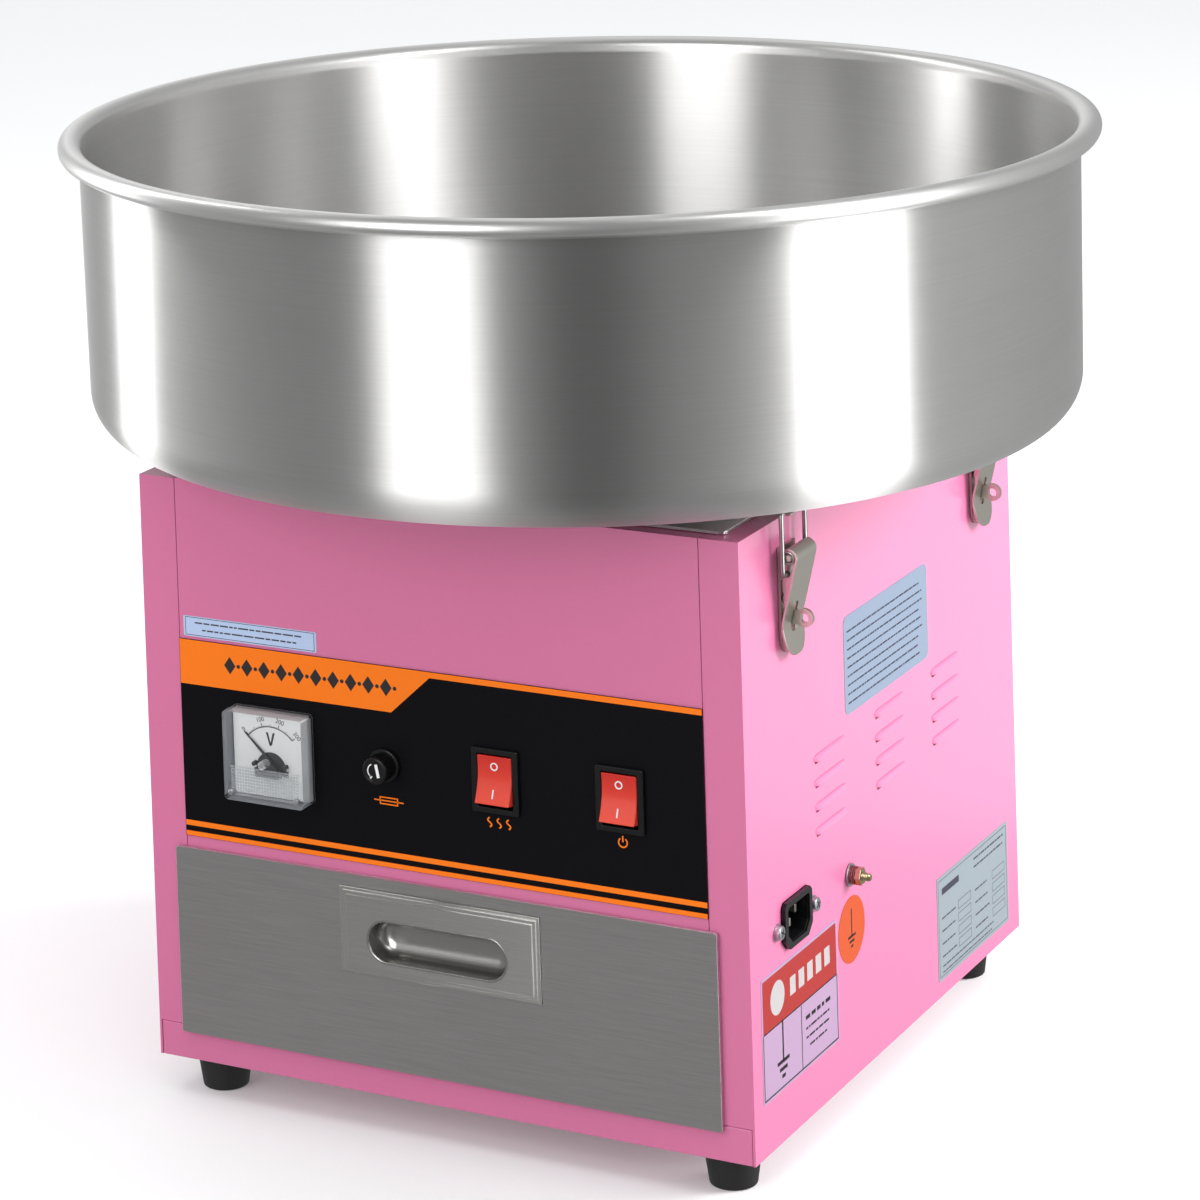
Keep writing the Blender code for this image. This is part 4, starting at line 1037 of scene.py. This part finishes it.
def drawer():
    keep("drawer_box", "zinc_plate", 0.2)
    grip, mouth, backing = (0, 77.9), (74, 19.6), (1, 81)
    plate = prism(rounded((0, 61.1), (290, 93), 1.2), "Y", FRONT - 3.0, FRONT - 0.5)
    hole = prism(stadium(grip, (78.2, 23.8)), "Y", FRONT - 6, FRONT + 2)
    dents = []
    for x in (-118, 118):
        for h in (26, 98):
            ball = bmesh.new()
            bmesh.ops.create_uvsphere(ball, u_segments=32, v_segments=16, radius=16)
            dents.append(moved(object_from(ball), shift(x, FRONT - 18.75, h)))
    cut(plate, hole, *dents)
    piece(plate, "drawer_face", "brushed_steel", node="drawer_front", edge=0.6, body="drawer")
    far = FRONT - 3.3
    steps = (((107, 41.5), 0.75, 0), ((103.6, 38.1), 1.25, 0), ((100, 34.5), 1.7, 0.1))
    layers = [prism(rectangle(backing, size), "Y", far - out, far - back) for size, out, back in steps]
    handle = union(*layers)
    cut(handle, prism(stadium(grip, mouth), "Y", far - 4, far + 2))
    piece(handle, "drawer_pull", "pull_steel", "drawer_handle", edge=0.45, body="drawer")
    inside = [(far - 1.95, 0.9), (far - 2.1, 0.3), (far - 1.9, -0.15), (far - 1.4, -0.3), (far + 3.0, -0.5)]
    inside += [(far + 4.6 + 5.2 * b, 6.5 * a - 7.0) for a, b in arc((0, 0), 1, 0, 90, 10)]
    outside = [(far - 1.6, 0.9), (far - 0.4, 0.95), (far + 5.0, 0.9)]
    outside += [(far + 5.4 + 5.6 * b, 6.5 * a - 5.6) for a, b in arc((0, 0), 1, 0, 90, 6)]
    cup = scooped(grip, mouth, inside, outside)
    # The pocket's darker steel is painted shade for the recess.
    piece(cup, "drawer_pull_cup", "shaded_cup_steel", angle=50, body="drawer")


def scooped(centre, size, inside, outside):
    """A closed shell of stadium rings. Each ring is a depth and how far its outline is offset."""
    bm = bmesh.new()
    rings = []
    for depth, grow in inside + outside[::-1]:
        outline = stadium(centre, (size[0] + 2 * grow, size[1] + 2 * grow), 20)
        rings.append([bm.verts.new((x, depth, h)) for x, h in outline])
    turn = len(inside)
    loops = list(zip(rings[: turn - 1], rings[1:turn])) + list(zip(rings[turn:-1], rings[turn + 1 :]))
    loops.append((rings[-1], rings[0]))
    for first, second in loops:
        bridge(bm, first, second)
    bm.faces.new(rings[turn - 1])
    bm.faces.new(rings[turn])
    return object_from(bm)


# ---- stickers


def text_bars(left, right, rows, bar, seed, ragged=0.0):
    """Plain bars that stand in for lines of small print."""
    dice = random.Random(seed)
    bars = []
    for row in rows:
        end = right - ragged * dice.random()
        start = left
        while start < end - 1.5:
            stop = min(end, start + dice.uniform(1.6, 6.5))
            bars.append(rectangle(((start + stop) / 2, row), (stop - start, bar)))
            start = stop + 0.9 * bar
    return bars


def earth_symbol(x, h, size):
    """Upright line over three shortening bars."""
    bars = [(x, h + 0.45 * size, 0.07 * size, 0.9 * size)]
    bars += [(x, h - 0.16 * size * k, width * size, 0.08 * size) for k, width in enumerate((0.62, 0.4, 0.18))]
    return rectangles(*bars)


def sticker(name, axis, base, paper, outline, print_look, marks):
    """A thin film on a panel, with its print standing a hair proud of it."""
    out = 1 if base > 0 else -1
    film = prism(outline, axis, base + 0.02 * out, base + 0.16 * out)
    piece(film, name, paper)
    inks = prisms(marks, axis, base + 0.15 * out, base + 0.19 * out)
    piece(inks, f"{name}_print", print_look)


def stickers():
    """Labels without any wording: bars for print, ruled boxes, an earth symbol and blank shapes."""
    note = text_bars(-131, -70, [219.4], 0.75, 3) + text_bars(-127, -73, [216.0], 0.75, 4)
    note += rectangles((-100.2, 221.9, 72.6, 0.3), (-100.2, 213.2, 72.6, 0.3))
    note += rectangles((-136.3, 217.5, 0.3, 8.6), (-64.1, 217.5, 0.3, 8.6))
    outline = rounded((-100.2, 217.5), (74.5, 10), 0.6)
    sticker("note_sticker", "Y", FRONT, "blue_paper", outline, "small_print", note)
    info = text_bars(-48, 49, [181 + 4.35 * k for k in range(9)], 0.85, 11, 12)
    outline = rounded((0.5, 199.7), (105, 47.8), 4)
    sticker("info_sticker", "X", SIDE, "pale_paper", outline, "small_print", info)
    rows = [39 - 6.5 * k for k in range(4)]
    plate = text_bars(62, 84, rows, 0.8, 5, 6) + text_bars(107, 128, rows, 0.8, 6, 6)
    for row in rows:
        for middle in (92.5, 139.5):
            plate += rectangles(*[(middle, row + side * 2.1, 17, 0.3) for side in (-1, 1)])
            plate += rectangles(*[(middle + side * 8.5, row, 0.3, 4.4) for side in (-1, 1)])
    plate += text_bars(106, 148, [55.5, 51.4], 0.9, 8, 4) + text_bars(62, 132, [11.6, 14.6], 0.7, 9, 6)
    plate += rectangles((74, 52.6, 23, 3.4), (104.5, 58.9, 93.4, 0.3), (104.5, 10, 93.4, 0.3))
    plate += rectangles((57.8, 34.5, 0.3, 49), (151.2, 34.5, 0.3, 49))
    outline = rounded((104.5, 34.5), (97, 53), 1)
    sticker("rating_sticker", "X", SIDE, "grey_paper", outline, "small_print", plate)
    earth = earth_symbol(-51.6, 68.8, 15)
    sticker("earth_disc", "X", SIDE, "orange_paper", circle((-51.6, 72.1), 16, 64), "ink", earth)
    notice = text_bars(-108, -76, [48.5], 1.9, 21, 2) + text_bars(-108, -76, [43.4, 39], 1.0, 22, 5)
    notice += text_bars(-104, -80, [34.6], 1.0, 24, 3) + earth_symbol(-134.5, 38, 22)
    notice += rectangles((-113, 41, 0.7, 30.6), (-113.5, 56.9, 85, 0.7), (-113.5, 25.9, 85, 0.7))
    notice += rectangles((-156, 41.2, 0.7, 31), (-71, 41.2, 0.7, 31))
    outline = rounded((-113.5, 53.8), (88, 59), 0.8)
    sticker("notice_sticker", "X", SIDE, "lilac_paper", outline, "ink", notice)
    header = prism(rectangle((-113.5, 69.5), (85, 24.6)), "X", SIDE + 0.15, SIDE + 0.2)
    piece(header, "notice_header", "red_paper")
    blocks = [circle((-139.5, 69.5), 8.0, 40)]
    blocks += rectangles(*[(x, 69.5, 6.4, 8.6) for x in range(-122, -81, 10)])
    piece(prisms(blocks, "X", SIDE + 0.19, SIDE + 0.23), "notice_header_print", "pale_print")


# ---- stage, light and camera


def floor():
    bm = bmesh.new()
    bmesh.ops.create_grid(bm, x_segments=2, y_segments=2, size=12)
    obj = object_from(bm, "floor")
    material = bpy.data.materials.new("pale_floor")
    n = Nodes(material)
    speckle = n.noise(n.stretched((1, 1, 1)), 220, 4.0)
    cloud = n.noise(n.stretched((1, 1, 1)), 1.3, 3.0)
    tone = n.blend(speckle, cloud, 0.3)
    rays = n.add("ShaderNodeLightPath").outputs
    pale = n.mix(tone, (0.86, 0.86, 0.86, 1), (0.9, 0.9, 0.9, 1))
    shown = n.mix(rays["Is Diffuse Ray"], pale, (0.5, 0.5, 0.5, 1))
    glow = n.math("MULTIPLY", rays["Is Camera Ray"], 0.14)
    n.set(n.shader, Base_Color=shown, Roughness=0.75, Specular_IOR_Level=0.2)
    n.set(n.shader, Emission_Color=(1, 1, 1, 1), Emission_Strength=glow)
    obj.data.materials.append(material)
    obj.visible_glossy = False


def world():
    """Even pale light for the floor and the paint; for reflections, a studio whose grey changes round it."""
    made = bpy.data.worlds.new("studio")
    bpy.context.scene.world = made
    n = Nodes(made)
    x, y, _ = n.add("ShaderNodeSeparateXYZ", Vector=n.add("ShaderNodeTexCoord").outputs["Generated"]).outputs
    angle = n.math("ARCTAN2", x, n.math("MULTIPLY", y, -1.0))
    share = n.add("ShaderNodeMapRange", in0=angle, in1=-pi, in2=pi)
    ramp = n.add("ShaderNodeValToRGB", in0=share.outputs[0])
    stops = ramp.color_ramp.elements
    stops.remove(stops[1])
    greys = [(-180, 0.45), (-160, 0.5), (-145, 1.1), (-132, 0.6), (-120, 0.42), (-75, 0.36), (-38, 0.25)]
    greys += [(5, 0.34), (22, 0.12), (34, 0.13), (48, 0.26), (62, 0.3), (120, 0.55), (165, 0.42)]
    for number, (bearing, grey) in enumerate(greys):
        place = (bearing + 180) / 360
        stop = stops.new(place) if number else stops[0]
        stop.position = place
        stop.color = (grey, grey, grey, 1)
    rays = n.add("ShaderNodeLightPath").outputs
    seen = n.add("ShaderNodeBackground", in0=ramp.outputs[0], in1=1.0)
    level = n.range(rays["Is Camera Ray"], 0.82, 1.0)
    even = n.add("ShaderNodeBackground", in0=(0.97, 0.98, 1.0, 1), in1=level)
    both = n.add("ShaderNodeMixShader", in0=rays["Is Glossy Ray"], in1=even.outputs[0], in2=seen.outputs[0])
    n.set(n.output, Surface=both.outputs[0])


def lamp(name, place, target, size, power, reflected=False):
    """A soft panel of light that faces the target. It either shows in reflections or lights surfaces."""
    data = bpy.data.lights.new(name, "AREA")
    data.shape = "RECTANGLE"
    data.size, data.size_y = size
    data.energy = power
    obj = linked(name, data)
    obj.location = place
    obj.rotation_euler = (Vector(target) - Vector(place)).to_track_quat("-Z", "Y").to_euler()
    obj.visible_camera = False
    obj.visible_glossy = reflected
    obj.visible_diffuse = not reflected
    return obj


def light_only(lit, pieces):
    """Makes this lamp reach only these pieces."""
    group = bpy.data.collections.new(f"lit_by_{lit.name}")
    for obj in pieces:
        group.objects.link(obj)
    lit.light_linking.receiver_collection = group


def lights():
    """Three soft lights, tall strips that the steel mirrors, and two glossy accents for chosen pieces."""
    lamp("key_right", (1.9, 1.1, 1.0), (0.16, 0.0, 0.2), (1.1, 1.1), 75)
    lamp("fill_front", (-0.7, -2.3, 1.1), (0.0, -0.2, 0.2), (1.6, 1.6), 17)
    lamp("overhead", (0.0, -0.6, 2.6), (0.0, 0.0, 0.3), (2.4, 2.0), 22)
    lamp("strip_left", (-1.17, -0.11, 1.0), (-0.2, -0.25, 1.0), (0.26, 1.9), 7.4, reflected=True)
    lamp("strip_right", (0.66, -0.14, 1.0), (0.2, -0.14, 1.0), (0.25, 1.9), 7.0, reflected=True)
    strip = lamp("strip_front", (-0.4, -3.6, 1.3), (0.0, -0.2, 1.3), (1.4, 2.8), 64, reflected=True)
    sheen = lamp("sheen_rear", (1.05, 1.6, -0.15), (0.16, 0.0, 0.2), (1.1, 0.7), 1.9, reflected=True)
    glints = lamp("glints", (0.7, -1.3, 2.1), (0.0, -0.1, 0.2), (1.3, 1.0), 14, reflected=True)
    pieces = [o for o in bpy.context.scene.objects if o.type == "MESH" and o.name != "floor"]
    painted = [o for o in pieces if o.active_material == LOOKS["pink_paint"]]
    light_only(sheen, painted)
    light_only(glints, [o for o in pieces if o not in painted and o.active_material != LOOKS["spun_bowl"]])
    light_only(strip, [o for o in pieces if o.active_material != LOOKS["brushed_steel"]])


def camera():
    """The main viewpoint. Its lens shift applies only there, so views from elsewhere stay centred."""
    data = bpy.data.cameras.new("camera")
    obj = linked("camera", data)
    place, azimuth, elevation, roll = (0.97413, -1.93041, 0.85011), 29.9686, 3.7384, -2.0031
    obj.matrix_world = shift(*place) @ spin(azimuth) @ spin(90 - elevation, "X") @ spin(roll)
    data.sensor_width = 36
    data.lens = 130.314
    for path, share in (("shift_x", 0.23417), ("shift_y", -0.79667)):
        driver = data.driver_add(path).driver
        driver.type = "SCRIPTED"
        across = driver.variables.new()
        across.name = "x"
        across.type = "TRANSFORMS"
        across.targets[0].id = obj
        across.targets[0].transform_type = "LOC_X"
        driver.expression = f"{share} if abs(x - {place[0]}) < 0.001 else 0"
    bpy.context.scene.camera = obj


casing()
bowl()
head()
latches()
overlay()
meter()
fuse()
for kind in SWITCHES:
    switch(kind)
inlet()
stud()
drawer()
stickers()
floor()
world()
lights()
camera()
bpy.context.scene.view_settings.view_transform = "Standard"
